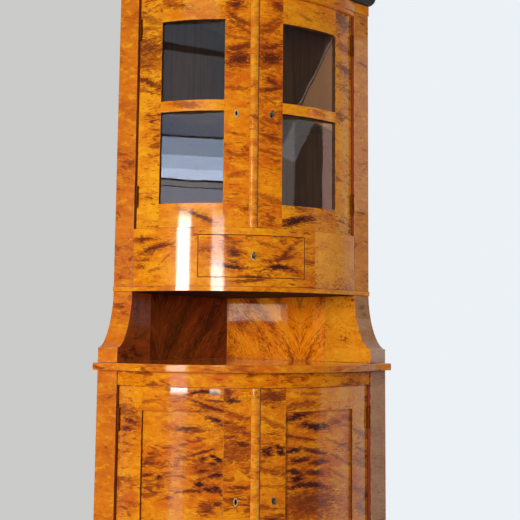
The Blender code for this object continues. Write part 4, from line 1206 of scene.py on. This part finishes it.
    # Dark arrises of the drawer, the apron's opening, the bead and the panels: a painted shade
    # line along the gaps.
    PAINTED_SHADE_ARRIS = Arris("painted_shade_arris", (112, 58, 18), (56, 26, 12))
    INSIDE = Plank("birch_inside", (128, 80, 46), (92, 54, 30), rough=0.5)
    PINE = Plank("pine_board", (186, 142, 92), (142, 98, 56))
    EBONISED = Ebonised("ebonised_wood")
    BRASS = Metal("brass_plate", (240, 216, 168), (150, 116, 70), 0.30, 0.5)
    # Hinges: tarnished brass, darkened further as painted shade of the reveal in which they sit.
    DARK_BRASS = Metal("tarnished_brass_with_painted_shade", (128, 62, 24), (76, 34, 14), 0.60, 0.45)
    IRON = Metal("old_iron", (110, 104, 98), (58, 46, 38), 0.42, 0.85)
    GLASS = PaneGlass("pane_glass")


@cache
def material(leaf: Leaf) -> bpy.types.Material:
    """The material of a finish, made once."""
    return leaf.value.build()


def piece(shell: Shell, name: str, node: str, *leaves: Leaf, body: str = "carcass",
          slot: str = "flame_birch", rounding: float = 0.0009, arris: int | None = 1,
          segments: int = 2) -> bpy.types.Object:
    """Make a piece that rides on its body and stands for its solid.

    Args:
        shell: the piece's surface.
        name: the piece's name.
        node: the solid that it stands for.
        leaves: its finishes, in slot order.
        body: the body that it moves with.
        slot: a material slot's name; not used.
        rounding: width of its rounded arrises.
        arris: which of the finishes the arrises have.
        segments: steps of the rounding.

    Returns:
        The piece's object.
    """
    obj = shell.build(name, [material(leaf) for leaf in leaves], rounding, arris, segments)
    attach(obj, body)
    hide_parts(node)
    LOG.info("%s on %s, %d faces", obj.name, body, len(obj.data.polygons))
    return obj


# --------------------------------------------------------------------------- sub-assemblies

@dataclass(frozen=True)
class Levels:
    """Heights shared by the pieces, each the bottom of what it names."""

    plinth_top: float = 0.070
    base_door: float = 0.0893
    base_rail: float = 0.7608
    base_top: float = 0.8053
    slab: float = 0.8056
    niche: float = 0.8286
    soffit: float = 1.0510
    apron: float = 1.0663
    apron_top: float = 1.2500
    upper_door: float = 1.2510
    rail: float = 2.0090
    frieze: float = 2.0230
    cornice: float = 2.0573


LEVEL = Levels()


@dataclass
class Posts:
    """The four pilaster posts: canted face, reveal, back, and a notch for the back board."""

    depth: float = 0.038
    left_start: float = 0.3     # map value at which a left post starts

    def outline(self, storey: Storey) -> Array:
        """Plan of the right post.

        Args:
            storey: the storey that the post stands in.

        Returns:
            The plan's corners, counter-clockwise.
        """
        by_reveal = storey.centre + (storey.radius - self.depth) * storey.radial
        return np.array([storey.outer_edge, *storey.notched,
                         storey.by_board(by_reveal, storey.face), by_reveal, storey.inner_edge])

    def build(self) -> None:
        """Build and dress the four posts."""
        # The right posts take copies of the veneer with painted shade and a painted reflection of
        # the pale wall.
        for prefix, storey, low, high, shaded in (
                ("base", BASE, 0.0, LEVEL.base_top, Leaf.RIGHT_CHEEK_PAINTED_SHADE),
                ("upper", UPPER, LEVEL.apron, LEVEL.frieze - GAP, Leaf.RIGHT_POST_PAINTED_REFLECTION)):
            right = self.outline(storey)
            for side, outline, start, reveal, leaf in (
                    ("right", right, 0.0, 4, shaded),
                    ("left", mirrored(right), self.left_start, 0, Leaf.PILASTER)):
                shell = Shell().extrude(outline, (low, high), start=start,
                                        side_slots={reveal: (2,)})
                piece(shell, f"{prefix}_{side}_pilaster", f"{prefix}_pilaster_{side}",
                      leaf, Leaf.ARRIS, Leaf.REVEAL)


@dataclass
class BaseBoards:
    """Plinth, top rail and slab of the base."""

    plinth_board: float = 0.020
    reveal: float = 0.012
    rail_setback: float = 0.003
    rail_board: float = 0.022
    slab_overhang: float = 0.021
    slab_rounding: float = 0.003
    slab_crease: float = math.radians(60)
    rounding: float = 0.001

    def build(self) -> None:
        """Build and dress the three pieces."""
        plinth = plain_board(BASE, -self.reveal, self.plinth_board, 0.0, LEVEL.plinth_top)
        piece(plinth, "curved_plinth", "base_plinth", Leaf.BAND, Leaf.ARRIS,
              rounding=self.rounding)
        rail = plain_board(BASE, -self.rail_setback, self.rail_board, LEVEL.base_rail,
                           LEVEL.base_top)
        piece(rail, "curved_top_rail", "base_top_rail", Leaf.LOW_BAND, Leaf.ARRIS,
              rounding=self.rounding)
        outline = whole(np.vstack([BASE.front_line(self.slab_overhang), BASE.wall(0, 0)]))
        slab = piece(Shell().extrude(outline, (LEVEL.slab, LEVEL.niche)), "base_slab", "slab",
                     Leaf.SLAB, rounding=self.slab_rounding, arris=None, segments=4)
        slab.modifiers["arris"].angle_limit = self.slab_crease


@dataclass
class Cheeks:
    """The niche's cheeks, flared forwards and outwards down to their foot blocks."""

    foot_block: float = 0.045
    side: float = 0.018
    reach: float = 0.438
    power: float = 1.8          # of the hollow's super-ellipse
    rings: int = 40
    crowding: float = 1.5       # how much closer the rings stand at the foot

    def ring(self, flare: Array, z: Array) -> Array:
        """Plans of the right cheek: each edge runs from the upper storey's to the base's.

        Args:
            flare: 0 at the top to 1 at the foot, one a ring.
            z: the rings' heights.

        Returns:
            Rings, (rings, points, 3).
        """
        mixed = flare[:, None]
        outer = UPPER.outer_edge * (1 - mixed) + BASE.outer_edge * mixed
        inner = UPPER.inner_edge * (1 - mixed) + BASE.inner_edge * mixed
        at_board = UPPER.wall(self.reach, UPPER.board + GAP)
        side = UPPER.inner_edge - at_board
        side = side / np.linalg.norm(side)
        away = np.array([-side[1], side[0]])
        behind = UPPER.by_board(at_board + self.side * away, side)
        back = np.array([-UPPER.face[1], UPPER.face[0]])
        hollow = meet(behind, side, UPPER.inner_edge + UPPER.notch * back, UPPER.face)
        still = [*UPPER.notched, UPPER.by_board(hollow, UPPER.face), hollow, behind, at_board]
        plan = np.stack([outer, *[np.broadcast_to(p, outer.shape) for p in still], inner],
                        axis=1)
        return np.dstack([plan, np.broadcast_to(z[:, None], plan.shape[:2])])

    def build(self) -> None:
        """Build and dress both cheeks; flare = 1 - (1 - (1 - rise)^p)^(1/p)."""
        foot, top = LEVEL.niche + GAP, LEVEL.soffit - GAP
        rise = np.linspace(0, 1, self.rings) ** self.crowding
        block_top = foot + self.foot_block
        flare = 1 - (1 - (1 - rise) ** self.power) ** (1 / self.power)
        right = self.ring(np.concatenate([[1.0], flare]),
                          np.concatenate([[foot], block_top + rise * (top - block_top)]))
        left = (right * np.array([-1, 1, 1]))[:, ::-1]
        # The right cheek's face takes painted shade and reflection; the left cheek's inner side
        # takes painted shade.
        for side, rings, inner, face, leaf in (
                ("right", right, 6, Leaf.RIGHT_CHEEK_PAINTED_SHADE, Leaf.NICHE_SIDE),
                ("left", left, 0, Leaf.CHEEK, Leaf.NICHE_PAINTED_SHADE_SIDE)):
            piece(Shell().loft(rings, side_slots={inner: (2,)}), f"{side}_flared_cheek",
                  f"upper_cheek_{side}", face, Leaf.ARRIS, leaf)


@dataclass
class Soffit:
    """The board over the niche, its edge a thin polished strip, with the drawer's runners."""

    overhang: float = 0.003
    top: float = 1.0660
    runner_in: float = 0.1515
    runner_out: float = 0.1655
    lip_out: float = 0.1745
    runner_front: float = -0.1885
    runner_rear: float = 0.1426
    runner_sunk: float = 0.0075     # into the board
    ledge_top: float = 1.0945
    lip_top: float = 1.1088
    rounding: float = 0.0008

    def build(self) -> None:
        """Build and dress the board and its runners."""
        corner = np.array([0.0, UPPER.corner_y - (UPPER.board + GAP) * math.sqrt(2)])
        outline = whole(np.vstack([UPPER.front_line(self.overhang), *UPPER.notched, corner]))
        # Both faces of the board take the dark stain with painted shade.
        shell = Shell().extrude(outline, (LEVEL.soffit, self.top), cap_slot=2)
        for sign in (-1, 1):
            for inner, top in ((self.runner_in, self.ledge_top), (self.runner_out, self.lip_top)):
                low_x, high_x = sorted((sign * inner, sign * self.lip_out))
                shell.box((low_x, self.runner_front, self.top - self.runner_sunk),
                          (high_x, self.runner_rear, top), 3)
        piece(shell, "niche_soffit", "soffit_board", Leaf.BAND, Leaf.ARRIS, Leaf.UNDERSIDE,
              Leaf.INSIDE, slot="birch_inside", rounding=self.rounding)


@dataclass
class NicheBacks:
    """Back boards of the upper storey: polished veneer in the niche, plain birch above."""

    rounding: float = 0.0006

    def build(self) -> None:
        """Build and dress both boards."""
        tip = GAP / 2 * math.sqrt(2)
        reach = UPPER.wall_reach - UPPER.notch - GAP
        right = np.array([UPPER.wall(tip, 0), UPPER.wall(UPPER.board + tip, UPPER.board),
                          UPPER.wall(reach, UPPER.board), UPPER.wall(reach, 0)])
        for side, outline, leaf in (("right", right, Leaf.NICHE_RIGHT),
                                    ("left", mirrored(right), Leaf.NICHE_LEFT_PAINTED_SHADE)):
            shell = Shell().extrude(
                outline, (LEVEL.niche + GAP, LEVEL.soffit, LEVEL.cornice - GAP),
                slots=(1,), cap_slot=1, side_slots={1: (0, 1), 3: (3, 3)})
            piece(shell, f"{side}_back_board", f"upper_back_{side}", leaf, Leaf.INSIDE,
                  Leaf.ARRIS, Leaf.PINE, slot="birch_inside", rounding=self.rounding, arris=2)


@dataclass
class ApronAndDrawer:
    """The curved apron with its opening, and the drawer's curved front."""

    board: float = 0.020
    opening: float = 0.170
    opening_low: float = 1.0938
    opening_high: float = 1.2265
    keyhole_z: float = 1.163
    joint: float = 0.2121       # where the right leaf of veneer begins, along the bow
    rounding: float = 0.0007    # of the apron's arrises

    def build(self) -> None:
        """Build and dress the apron and the drawer's front."""
        back = -self.board
        end = UPPER.end(0.0, back, GAP)
        side = UPPER.cut(self.opening, 0.0, back)
        joint = self.joint / UPPER.radius
        shell = CurvedBoard(
            UPPER, 0.0, back, [end.left, side.left, side, Cut(joint, joint), end],
            LEVEL.apron, LEVEL.apron_top, [Hole(1, 2, self.opening_low, self.opening_high)],
            slot_of=lambda along, level: np.where(along > self.joint, 3, 0), wall_slot=2).fill()
        piece(shell, "curved_apron", "apron", Leaf.APRON, Leaf.PAINTED_SHADE_ARRIS, Leaf.EDGE,
              Leaf.RIGHT_APRON, rounding=self.rounding)

        side = UPPER.cut(self.opening - PLAY, 0, back)
        hole = KEYHOLE_RADIUS / UPPER.radius
        shell = CurvedBoard(
            UPPER, 0.0, back, [side.left, Cut(-hole, -hole), Cut(hole, hole), side],
            self.opening_low + PLAY, self.opening_high - PLAY, [keyhole(1, self.keyhole_z)],
            wall_slot=2).fill()
        piece(shell, "curved_drawer_front", "drawer_front", Leaf.DRAWER, Leaf.PAINTED_SHADE_ARRIS,
              Leaf.EDGE, body="drawer")


@dataclass
class DoorPair:
    """A pair of curved framed doors with a bead on their meeting edge."""

    storey: Storey
    prefix: str
    low: float
    height: float
    inner: float        # the openings' inner edge, from the middle
    stile: float
    openings: list[tuple[float, float]]
    keyhole_z: float
    leaves: tuple[Leaf, Leaf, Leaf]     # of the stiles, the meeting stiles and the rails
    reveal: float = 0.012
    thickness: float = 0.024
    rebate: float = 0.008
    split: float = 0.0135
    keyhole_x: float = 0.056
    bead_width: float = 0.027
    bead_proud: float = 0.009
    bead_shoulder: float = 0.00225
    bead_rounding: float = 0.0004
    bead_steps: int = 41
    bead_back_steps: int = 5

    @property
    def edges(self) -> tuple[float, float]:
        """Angles of the right opening's inner and outer edge."""
        storey, front = self.storey, -self.reveal
        return storey.at_x(self.inner, front), storey.at_x(storey.inner_x - self.stile, front)

    def seat(self, side: int) -> Callable[[Array], Array]:
        """Where the rebate's floor lies at each angle; set by the kind of door."""
        raise NotImplementedError

    def leaf(self, side: int) -> Shell:
        """One door's frame.

        Args:
            side: -1 for the left door, 1 for the right.

        Returns:
            The frame's shell.
        """
        storey, front = self.storey, -self.reveal
        back = front - self.thickness
        inner, outer = self.edges
        lap = self.rebate / storey.radius
        hole = self.keyhole_x / (storey.radius + front)
        half = KEYHOLE_RADIUS / storey.radius
        cuts = [storey.end(front, back, PLAY),
                *(Cut(a, a) for a in (outer + lap, outer, inner, inner - lap, hole + half,
                                      hole - half))]
        if side > 0:
            cuts = [storey.cut(self.split + PLAY, front, back), *cuts[::-1]]
            hole_at, wide, tight = 1, (3, 6), (4, 5)
        else:
            cuts = [*(cut.left for cut in cuts), storey.cut(self.split, front, back)]
            hole_at, wide, tight = 5, (1, 4), (2, 3)
        holes = [Hole(*tight, low, high) for low, high in self.openings]
        rebates = [Hole(*wide, low - self.rebate, high + self.rebate)
                   for low, high in self.openings]
        at_inner, at_outer = (angle * (storey.radius + front) for angle in (inner, outer))

        def slot_of(along: Array, level: Array) -> Array:
            """Stiles outside the opening's sides, the meeting stile, and rails between.

            Args:
                along: places along the bow.
                level: their heights.

            Returns:
                The finish's number at each place.
            """
            reach = np.abs(along)
            wood = np.where(reach > at_outer, 0, 2)
            return np.where((reach < at_inner) | (side * along < 0), 1, wood)

        return CurvedBoard(storey, front, back, cuts, self.low, self.low + self.height,
                           [*holes, keyhole(hole_at, self.keyhole_z)], rebates,
                           self.seat(side), slot_of, 4).fill()

    def bead(self) -> Shell:
        """Half-round bead: x = w cos t, y = face - proud sin t, cut off by square shoulders.

        Returns:
            The bead's shell.
        """
        half = self.bead_width / 2
        face = self.storey.centre_y - self.storey.radius + self.reveal
        turn = np.linspace(0, math.pi, self.bead_steps)
        y = np.minimum(face - self.bead_proud * np.sin(turn), face - self.bead_shoulder)
        crown = np.stack([half * np.cos(turn), y], axis=1)
        turns = np.linspace(-1, 1, self.bead_back_steps) * half / self.storey.radius
        base = self.storey.plan(turns, GAP - self.reveal)
        base[0, 0], base[-1, 0] = -half, half
        return Shell().extrude(np.vstack([base, crown])[::-1],
                               (self.low, self.low + self.height))

    def build(self) -> None:
        """Build and dress both frames and the bead."""
        for side, where in ((-1, "left"), (1, "right")):
            door = f"{self.prefix}_door_{where}"
            piece(self.leaf(side), f"{self.prefix}_{where}_leaf_frame", f"{door}_frame",
                  *self.leaves, Leaf.ARRIS, Leaf.EDGE, body=door, arris=3)
        piece(self.bead(), f"{self.prefix}_meeting_bead", f"{self.prefix}_bead", Leaf.BEAD,
              Leaf.PAINTED_SHADE_ARRIS, body=f"{self.prefix}_door_left", rounding=self.bead_rounding)


@dataclass
class GlazedDoors(DoorPair):
    """The upper doors: flat panes lie in rebates cut square to the opening's chord."""

    pane_setback: float = 0.009
    lap_play: float = 1.01      # widens the test for the rebate past its edge

    def seat(self, side: int) -> Callable[[Array], Array]:
        """The rebate's floor lies on the chord between the opening's edges, set back.

        Args:
            side: -1 for the left door, 1 for the right.

        Returns:
            A function from angles to plan points; outside the rebate it keeps mid thickness.
        """
        storey, (inner, outer) = self.storey, self.edges
        lap = self.lap_play * self.rebate / storey.radius

        def floor(angles: Array) -> Array:
            """Where the ray at each angle meets the set-back chord.

            Args:
                angles: angles from the middle.

            Returns:
                Plan points.
            """
            a, b = storey.plan(np.array([inner, outer]), -self.reveal)
            along = (b - a) / np.linalg.norm(b - a)
            gap = a + self.pane_setback * np.array([-along[1], along[0]]) - storey.centre
            ray = np.stack([np.sin(np.abs(angles)), -np.cos(angles)], axis=-1)
            across = ray[:, 0] * along[1] - ray[:, 1] * along[0]
            reach = (gap[0] * along[1] - gap[1] * along[0]) / across
            hit = storey.centre + ray * reach[:, None]
            hit[:, 0] *= np.sign(angles)
            away = np.abs(angles)
            inside = (away > inner - lap) & (away < outer + lap) & (np.sign(angles) == side)
            return np.where(inside[:, None], hit,
                            storey.plan(angles, -self.reveal - self.thickness / 2))

        return floor


@dataclass
class PanelledDoors(DoorPair):
    """The base's doors: curved panels lie in curved rebates."""

    panel_setback: float = 0.008
    panel: float = 0.008
    panel_rounding: float = 0.0005

    def seat(self, side: int) -> Callable[[Array], Array]:
        """The rebate's floor runs parallel to the door's face."""
        return lambda angles: self.storey.plan(angles, -self.reveal - self.panel_setback)

    def build(self) -> None:
        """Build and dress the frames, the bead and the panels."""
        super().build()
        front = -self.reveal - self.panel_setback - GAP
        reach = self.rebate - GAP
        inner, outer = self.edges
        ends = np.array([inner - reach / self.storey.radius, outer + reach / self.storey.radius])
        low, high = self.openings[0]
        for side, where in ((-1, "left"), (1, "right")):
            shell = CurvedBoard(self.storey, front, front - self.panel,
                                [Cut(e, e) for e in sorted((side * ends).tolist())],
                                low - reach, high + reach).fill()
            door = f"{self.prefix}_door_{where}"
            piece(shell, f"{self.prefix}_{where}_curved_panel", f"{door}_panel", Leaf.PANEL,
                  Leaf.PAINTED_SHADE_ARRIS, body=door, rounding=self.panel_rounding)


@dataclass
class Crown:
    """Frieze with its thin rail, and the ebonised cornice."""

    overhang: float = 0.003
    board: float = 0.022
    rail_board: float = 0.017
    rail_sunk: float = 0.002        # into the frieze
    top_lap: float = 0.011
    cornice_overhang: float = 0.024
    cornice_height: float = 0.042
    cornice_rounding: float = 0.0006
    profile_steps: int = 25

    def frieze(self) -> Shell:
        """Band from wall to wall, stepped round the back boards, and the rail under it.

        Returns:
            The shell of both.
        """
        front = UPPER.front_line(self.overhang)
        rear = UPPER.front_line(self.overhang - self.board)
        rear = np.vstack([rear[:-1], UPPER.by_board(rear[-2], UPPER.face), *UPPER.notched[::-1]])
        length = np.linalg.norm(np.diff(front, axis=0), axis=1).sum()
        shell = Shell().extrude(band(front, rear), (LEVEL.frieze, LEVEL.cornice - GAP),
                                start=-length)
        return plain_board(UPPER, 0.0, self.rail_board, LEVEL.rail,
                           LEVEL.frieze + self.rail_sunk, shell)

    def cornice(self) -> Shell:
        """Half-round moulding: at turn t, offset = o + w cos t and height = h (1 + sin t) / 2.

        Returns:
            The cornice's shell.
        """
        back = UPPER.front_line(self.overhang - self.board + self.top_lap + 2 * GAP)
        rings = []
        for turn in np.linspace(-math.pi / 2, math.pi / 2, self.profile_steps):
            front = UPPER.front_line(self.overhang + self.cornice_overhang * math.cos(turn))
            outline = band(front, back)
            z = LEVEL.cornice + self.cornice_height * (1 + math.sin(turn)) / 2
            rings.append(np.column_stack([outline, np.full(len(outline), z)]))
        shortest = min(len(ring) for ring in rings)
        if any(len(ring) != shortest for ring in rings):
            rings = [resampled(ring, shortest) for ring in rings]
        return Shell().loft(np.stack(rings))

    def build(self) -> None:
        """Build and dress the frieze and the cornice."""
        piece(self.frieze(), "frieze_and_rail", "frieze", Leaf.BAND, Leaf.ARRIS)
        piece(self.cornice(), "black_cornice", "cornice", Leaf.EBONISED,
              slot="ebonised_wood", rounding=self.cornice_rounding, arris=None)


def resampled(ring: Array, count: int) -> Array:
    """A closed ring with another number of points, evenly spread over its point numbers.

    Args:
        ring: points, (n, 3).
        count: how many there are to be.

    Returns:
        The new ring.
    """
    closed = np.vstack([ring, ring[:1]])
    wanted = np.linspace(0, len(ring), count, endpoint=False)
    return np.stack([np.interp(wanted, np.arange(len(closed)), part) for part in closed.T],
                    axis=1)


@dataclass
class Carried:
    """Solids whose shape is right as it is, by words in their names, with their finishes."""

    groups: tuple[tuple[Leaf, tuple[str, ...]], ...] = (
        (Leaf.INSIDE, ("base_bottom_board", "deck_board")),
        (Leaf.PINE, ("base_back_", "base_shelf", "drawer_bottom", "drawer_box", "top_board",
                     "upper_shelf")),
        (Leaf.DARK_BRASS, ("hinge",)),
        (Leaf.IRON, ("_key", "_lock", "_bolt")),
        (Leaf.GLASS, ("_pane_",)),
    )

    def plate(self, obj: bpy.types.Object) -> bpy.types.Material:
        """Brass for an escutcheon, with painted keyhole shade about the plate's own middle.

        Args:
            obj: the escutcheon's solid.

        Returns:
            The brass.
        """
        places = np.empty(3 * len(obj.data.vertices), np.float32)
        obj.data.vertices.foreach_get("co", places)
        places = places.reshape(-1, 3)
        middle = (places.min(axis=0) + places.max(axis=0)) / 2
        return replace(Leaf.BRASS.value, name=f"{obj.name}_brass",
                       centre=tuple(middle.tolist())).build()

    def build(self) -> None:
        """Dress each solid in its finish."""
        for node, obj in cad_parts.items():
            found = [leaf for leaf, words in self.groups if any(word in node for word in words)]
            if "escutcheon" in node:
                finish = self.plate(obj)
            elif found:
                finish = material(found[0])
            else:
                continue
            for slot in obj.material_slots:
                slot.material = finish


# --------------------------------------------------------------------------- studio

class Seen(Enum):
    """What a lamp does: lights the wood, shows in polish and glass, or both."""

    WOOD = "wood"
    POLISH = "polish"
    BOTH = "both"


@dataclass(frozen=True)
class Lamp:
    """A rectangular light, which the camera doesn't see."""

    name: str
    place: Triple
    size: tuple[float, float]
    watts: float
    aim: Triple | None = None       # the point that it faces; level with it if there is none
    seen: Seen = Seen.BOTH
    colour: Triple = (1.0, 1.0, 1.0)
    roll: float = 0.0               # about the line to the aim, in radians

    def hang(self) -> None:
        """Make the lamp, turned to its aim."""
        lamp = bpy.data.lights.new(self.name, "AREA")
        lamp.shape = "RECTANGLE"
        lamp.size, lamp.size_y = self.size
        lamp.energy, lamp.color = self.watts, self.colour
        obj = bpy.data.objects.new(self.name, lamp)
        bpy.context.scene.collection.objects.link(obj)
        obj.visible_camera = False
        obj.visible_diffuse = self.seen is not Seen.POLISH
        obj.visible_glossy = obj.visible_transmission = self.seen is not Seen.WOOD
        way = np.array(self.aim or (0, 0, self.place[2]), float) - np.array(self.place, float)
        way /= np.linalg.norm(way)
        side = np.cross(way, (0, 0, 1))
        side /= np.linalg.norm(side)
        turn = Matrix(np.column_stack([side, np.cross(side, way), -way]).tolist()).to_4x4()
        obj.matrix_world = (Matrix.Translation(self.place) @ turn
                            @ Matrix.Rotation(self.roll, 4, "Z"))


def glow(name: str, place: tuple[float, float], width: float, reach: tuple[float, float],
         light: Triple, roll: float = 0.0) -> Lamp:
    """An upright pale patch of the room, seen in polish and glass only.

    Args:
        name: the patch's name.
        place: its middle in plan.
        width: its width.
        reach: heights of its foot and head.
        light: how bright it looks, linear, red to blue.
        roll: its turn in its own plane, in radians.

    Returns:
        The lamp.
    """
    height, peak = reach[1] - reach[0], max(light)
    return Lamp(name, (*place, (reach[0] + reach[1]) / 2), (width, height),
                math.pi * peak * width * height, None, Seen.POLISH,
                tuple(part / peak for part in light), roll)


LAMPS = (
    Lamp("window_left", (-2.04, -2.57, 1.285), (0.51, 0.89), 38.5),
    Lamp("window_right", (-0.85, -3.14, 1.215), (0.48, 0.39), 12.6),
    Lamp("window_right_high", (-0.85, -3.14, 1.575), (0.46, 0.31), 4.2),
    Lamp("window_foot", (-2.35, -2.665, 0.575), (0.70, 0.130), 7.6),
    Lamp("window_sill", (-2.35, -2.665, 0.690), (0.74, 0.022), 1.1),
    glow("window_foot_right", (-1.06, -3.40), 0.46, (0.510, 0.532), (20.0, 18.5, 16.0)),
    Lamp("day_left", (-2.3, -2.5, 1.5), (1.2, 1.6), 36.0, (0, 0, 1.2), Seen.WOOD),
    Lamp("back_light", (-2.2, 2.4, 2.4), (1.8, 1.2), 30.0, (0, 0.2, 1.2), Seen.WOOD),
    Lamp("back_light", (2.2, 2.4, 2.4), (1.8, 1.2), 30.0, (0, 0.2, 1.2), Seen.WOOD),
    Lamp("room_light", (2.1, -1.7, 1.9), (1.4, 1.2), 13.0, (0.1, 0, 1.6), Seen.WOOD),
    *(glow(f"floor_glow_{part}", place, width, reach, (0.6 * light, 1.06 * light, light))
      for part, place, width, reach, light in (
          ("wide", (-2.41, -2.60), 0.85, (-0.60, 0.50), 0.25),
          ("upper", (-2.38, -2.57), 0.50, (0.22, 0.50), 0.40),
          ("lower", (-2.38, -2.57), 0.52, (-0.60, 0.16), 1.30))),
    glow("niche_window_left", (-0.564, -3.12), 0.128, (1.018, 1.158), (98.0, 92.0, 76.0)),
    glow("niche_window_right", (-0.785, -3.12), 0.272, (1.018, 1.158), (92.0, 76.0, 44.0)),
    *(glow(f"pane_{part}", (-1.62, -2.86), 1.5, reach, light, roll)
      for part, reach, light, roll in (
          ("foot", (1.790, 1.915), (2.0, 2.1, 2.6), -0.05),
          ("ledge", (1.922, 1.960), (1.8, 1.8, 1.9), -0.05),
          ("brightest", (1.975, 2.045), (6.2, 7.2, 9.6), -0.05),
          ("bright", (2.045, 2.140), (4.4, 5.3, 7.2), -0.05),
          ("middle", (2.140, 2.268), (2.4, 3.0, 4.1), -0.05),
          ("top", (2.284, 2.470), (0.8, 1.0, 1.5), -0.05),
          ("wall", (2.470, 2.850), (0.50, 0.52, 0.60), -0.12),
          ("ceiling", (2.890, 3.450), (0.42, 0.50, 0.60), -0.17))),
    glow("right_pane_left", (2.159, -1.810), 0.10, (1.70, 2.31), (0.62, 0.60, 0.60)),
    glow("right_pane_slope", (2.215, -1.770), 0.12, (2.04, 2.36), (0.72, 0.72, 0.74), -0.46),
    glow("right_pane_right", (2.396, -1.643), 0.10, (1.70, 2.31), (2.0, 1.2, 1.05)),
    glow("right_pane_brown", (2.510, -1.563), 0.50, (2.25, 2.81), (2.0, 0.95, 0.45), -0.46),
    glow("right_pane_edge", (2.320, -1.697), 0.008, (2.37, 2.93), (2.0, 1.3, 1.1), -0.46),
    glow("pale_wall_low", (2.75, -0.30), 1.85, (-0.31, 0.69), (0.30, 0.19, 0.12)),
    glow("pale_wall_high", (2.63, -0.53), 2.33, (0.80, 1.80), (0.28, 0.14, 0.05)),
    glow("pale_wall_top", (2.68, -0.35), 1.90, (1.80, 3.20), (0.28, 0.14, 0.06)),
    glow("wall_corner_foot", (2.77, -1.16), 1.30, (-0.60, 0.69), (0.50, 0.55, 0.62)),
    glow("wall_corner_low", (2.77, -0.864), 0.75, (0.745, 1.12), (1.65, 1.95, 2.30)),
    glow("apron_wall", (2.66, -1.38), 0.83, (1.12, 1.70), (0.52, 0.42, 0.28)),
    glow("wall_corner_high", (2.66, -1.06), 0.34, (1.70, 2.85), (0.80, 0.84, 0.86)),
)


@dataclass
class Studio:
    """Floor, two tall windows, a weak broad light, pale surroundings and the camera."""

    left_tone: Triple = (203, 203, 202)
    right_tone: Triple = (236, 241, 246)
    front_tone: Triple = (74, 78, 88)
    fill: float = 0.13
    floor_radius: float = 1.25
    floor_rings: int = 12
    floor_sectors: int = 96
    floor_drop: float = 0.01    # of the rim
    eye: Triple = (-0.42605, -2.68748, 0.92287)
    yaw: float = -0.18074
    pitch: float = 0.09061
    roll: float = 0.00979
    lens: float = 55.78

    def floor(self) -> None:
        """A round pale floor: x = r cos t, y = r sin t, z = -drop (r / radius)^8."""
        rings, sectors = self.floor_rings, self.floor_sectors
        radius, turn = np.meshgrid(np.linspace(0.02, self.floor_radius, rings + 1),
                                   np.linspace(0, 2 * math.pi, sectors + 1), indexing="ij")
        x, y = radius * np.cos(turn), radius * np.sin(turn)
        z = -self.floor_drop * (radius / self.floor_radius) ** 8
        shell = Shell()
        index = shell.number(np.dstack([x, y, z]))
        index[:, -1] = index[:, 0]
        shell.cells(index, np.dstack([x, y]), np.ones((rings, sectors), bool))
        shell.add_polygon(index[0, :-1], np.stack([x[0, :-1], y[0, :-1]], axis=1))
        shell.build("studio_floor", [Plaster("studio_floor").build()])

    def world(self) -> None:
        """Pale walls to the eye and to reflections, and a dimmer soft light for the rest."""
        graph = Graph(bpy.data.worlds.new("pale_room"))
        bpy.context.scene.world = graph.owner
        x, y, _ = graph.node("SeparateXYZ", (graph.node("TexCoord")["Generated"],))
        path = graph.node("LightPath")
        walls = graph.mix(graph.span(x, 0.05, 0.32), self.left_tone, self.right_tone)
        dim = graph.maths("MULTIPLY", graph.span(y, 0.05, -0.35), path["Is Glossy Ray"])
        room = graph.node("Background", (graph.mix(dim, walls, self.front_tone),))[0]
        soft = graph.node("Background", ((0.96, 0.98, 1.0, 1.0), self.fill))[0]
        either = graph.maths("MAXIMUM", path["Is Camera Ray"], path["Is Glossy Ray"])
        either = graph.maths("MAXIMUM", either, path["Is Transmission Ray"])
        graph.finish(graph.node("MixShader", (either, soft, room))[0], "OutputWorld")

    def camera(self) -> None:
        """The photograph's camera: place, yaw, pitch, roll and lens from the fitted corners."""
        data = bpy.data.cameras.new("photo_camera")
        data.sensor_width, data.lens = 36.0, self.lens
        data.clip_start, data.clip_end = 0.05, 60
        obj = bpy.data.objects.new("photo_camera", data)
        bpy.context.scene.collection.objects.link(obj)
        obj.matrix_world = (Matrix.Translation(self.eye) @ Matrix.Rotation(self.yaw, 4, "Z")
                            @ Matrix.Rotation(math.pi / 2 + self.pitch, 4, "X")
                            @ Matrix.Rotation(self.roll, 4, "Z"))
        bpy.context.scene.camera = obj

    def build(self) -> None:
        """Set the whole studio up."""
        self.floor()
        for lamp in LAMPS:
            lamp.hang()
        self.world()
        self.camera()
        bpy.context.scene.view_settings.view_transform = "Standard"


def main() -> None:
    """Build and dress every sub-assembly, then the studio."""
    glazed = GlazedDoors(UPPER, "upper", LEVEL.upper_door, height=0.757, inner=0.0945,
                         stile=0.076, openings=[(1.328, 1.622), (1.658, 1.920)],
                         keyhole_z=1.616, leaves=(Leaf.STILE, Leaf.MEETING, Leaf.RAIL))
    panelled = PanelledDoors(BASE, "base", LEVEL.base_door, height=0.6705, inner=0.094,
                             stile=0.0765, openings=[(0.1743, 0.6878)], keyhole_z=0.433,
                             leaves=(Leaf.BASE_STILE, Leaf.BASE_MEETING, Leaf.BASE_RAIL))
    for assembly in (Posts(), BaseBoards(), Cheeks(), Soffit(), NicheBacks(), ApronAndDrawer(),
                     glazed, panelled, Crown(), Carried()):
        LOG.info("building %s", type(assembly).__name__)
        assembly.build()
    Studio().build()


if __name__ == "__main__":
    main()
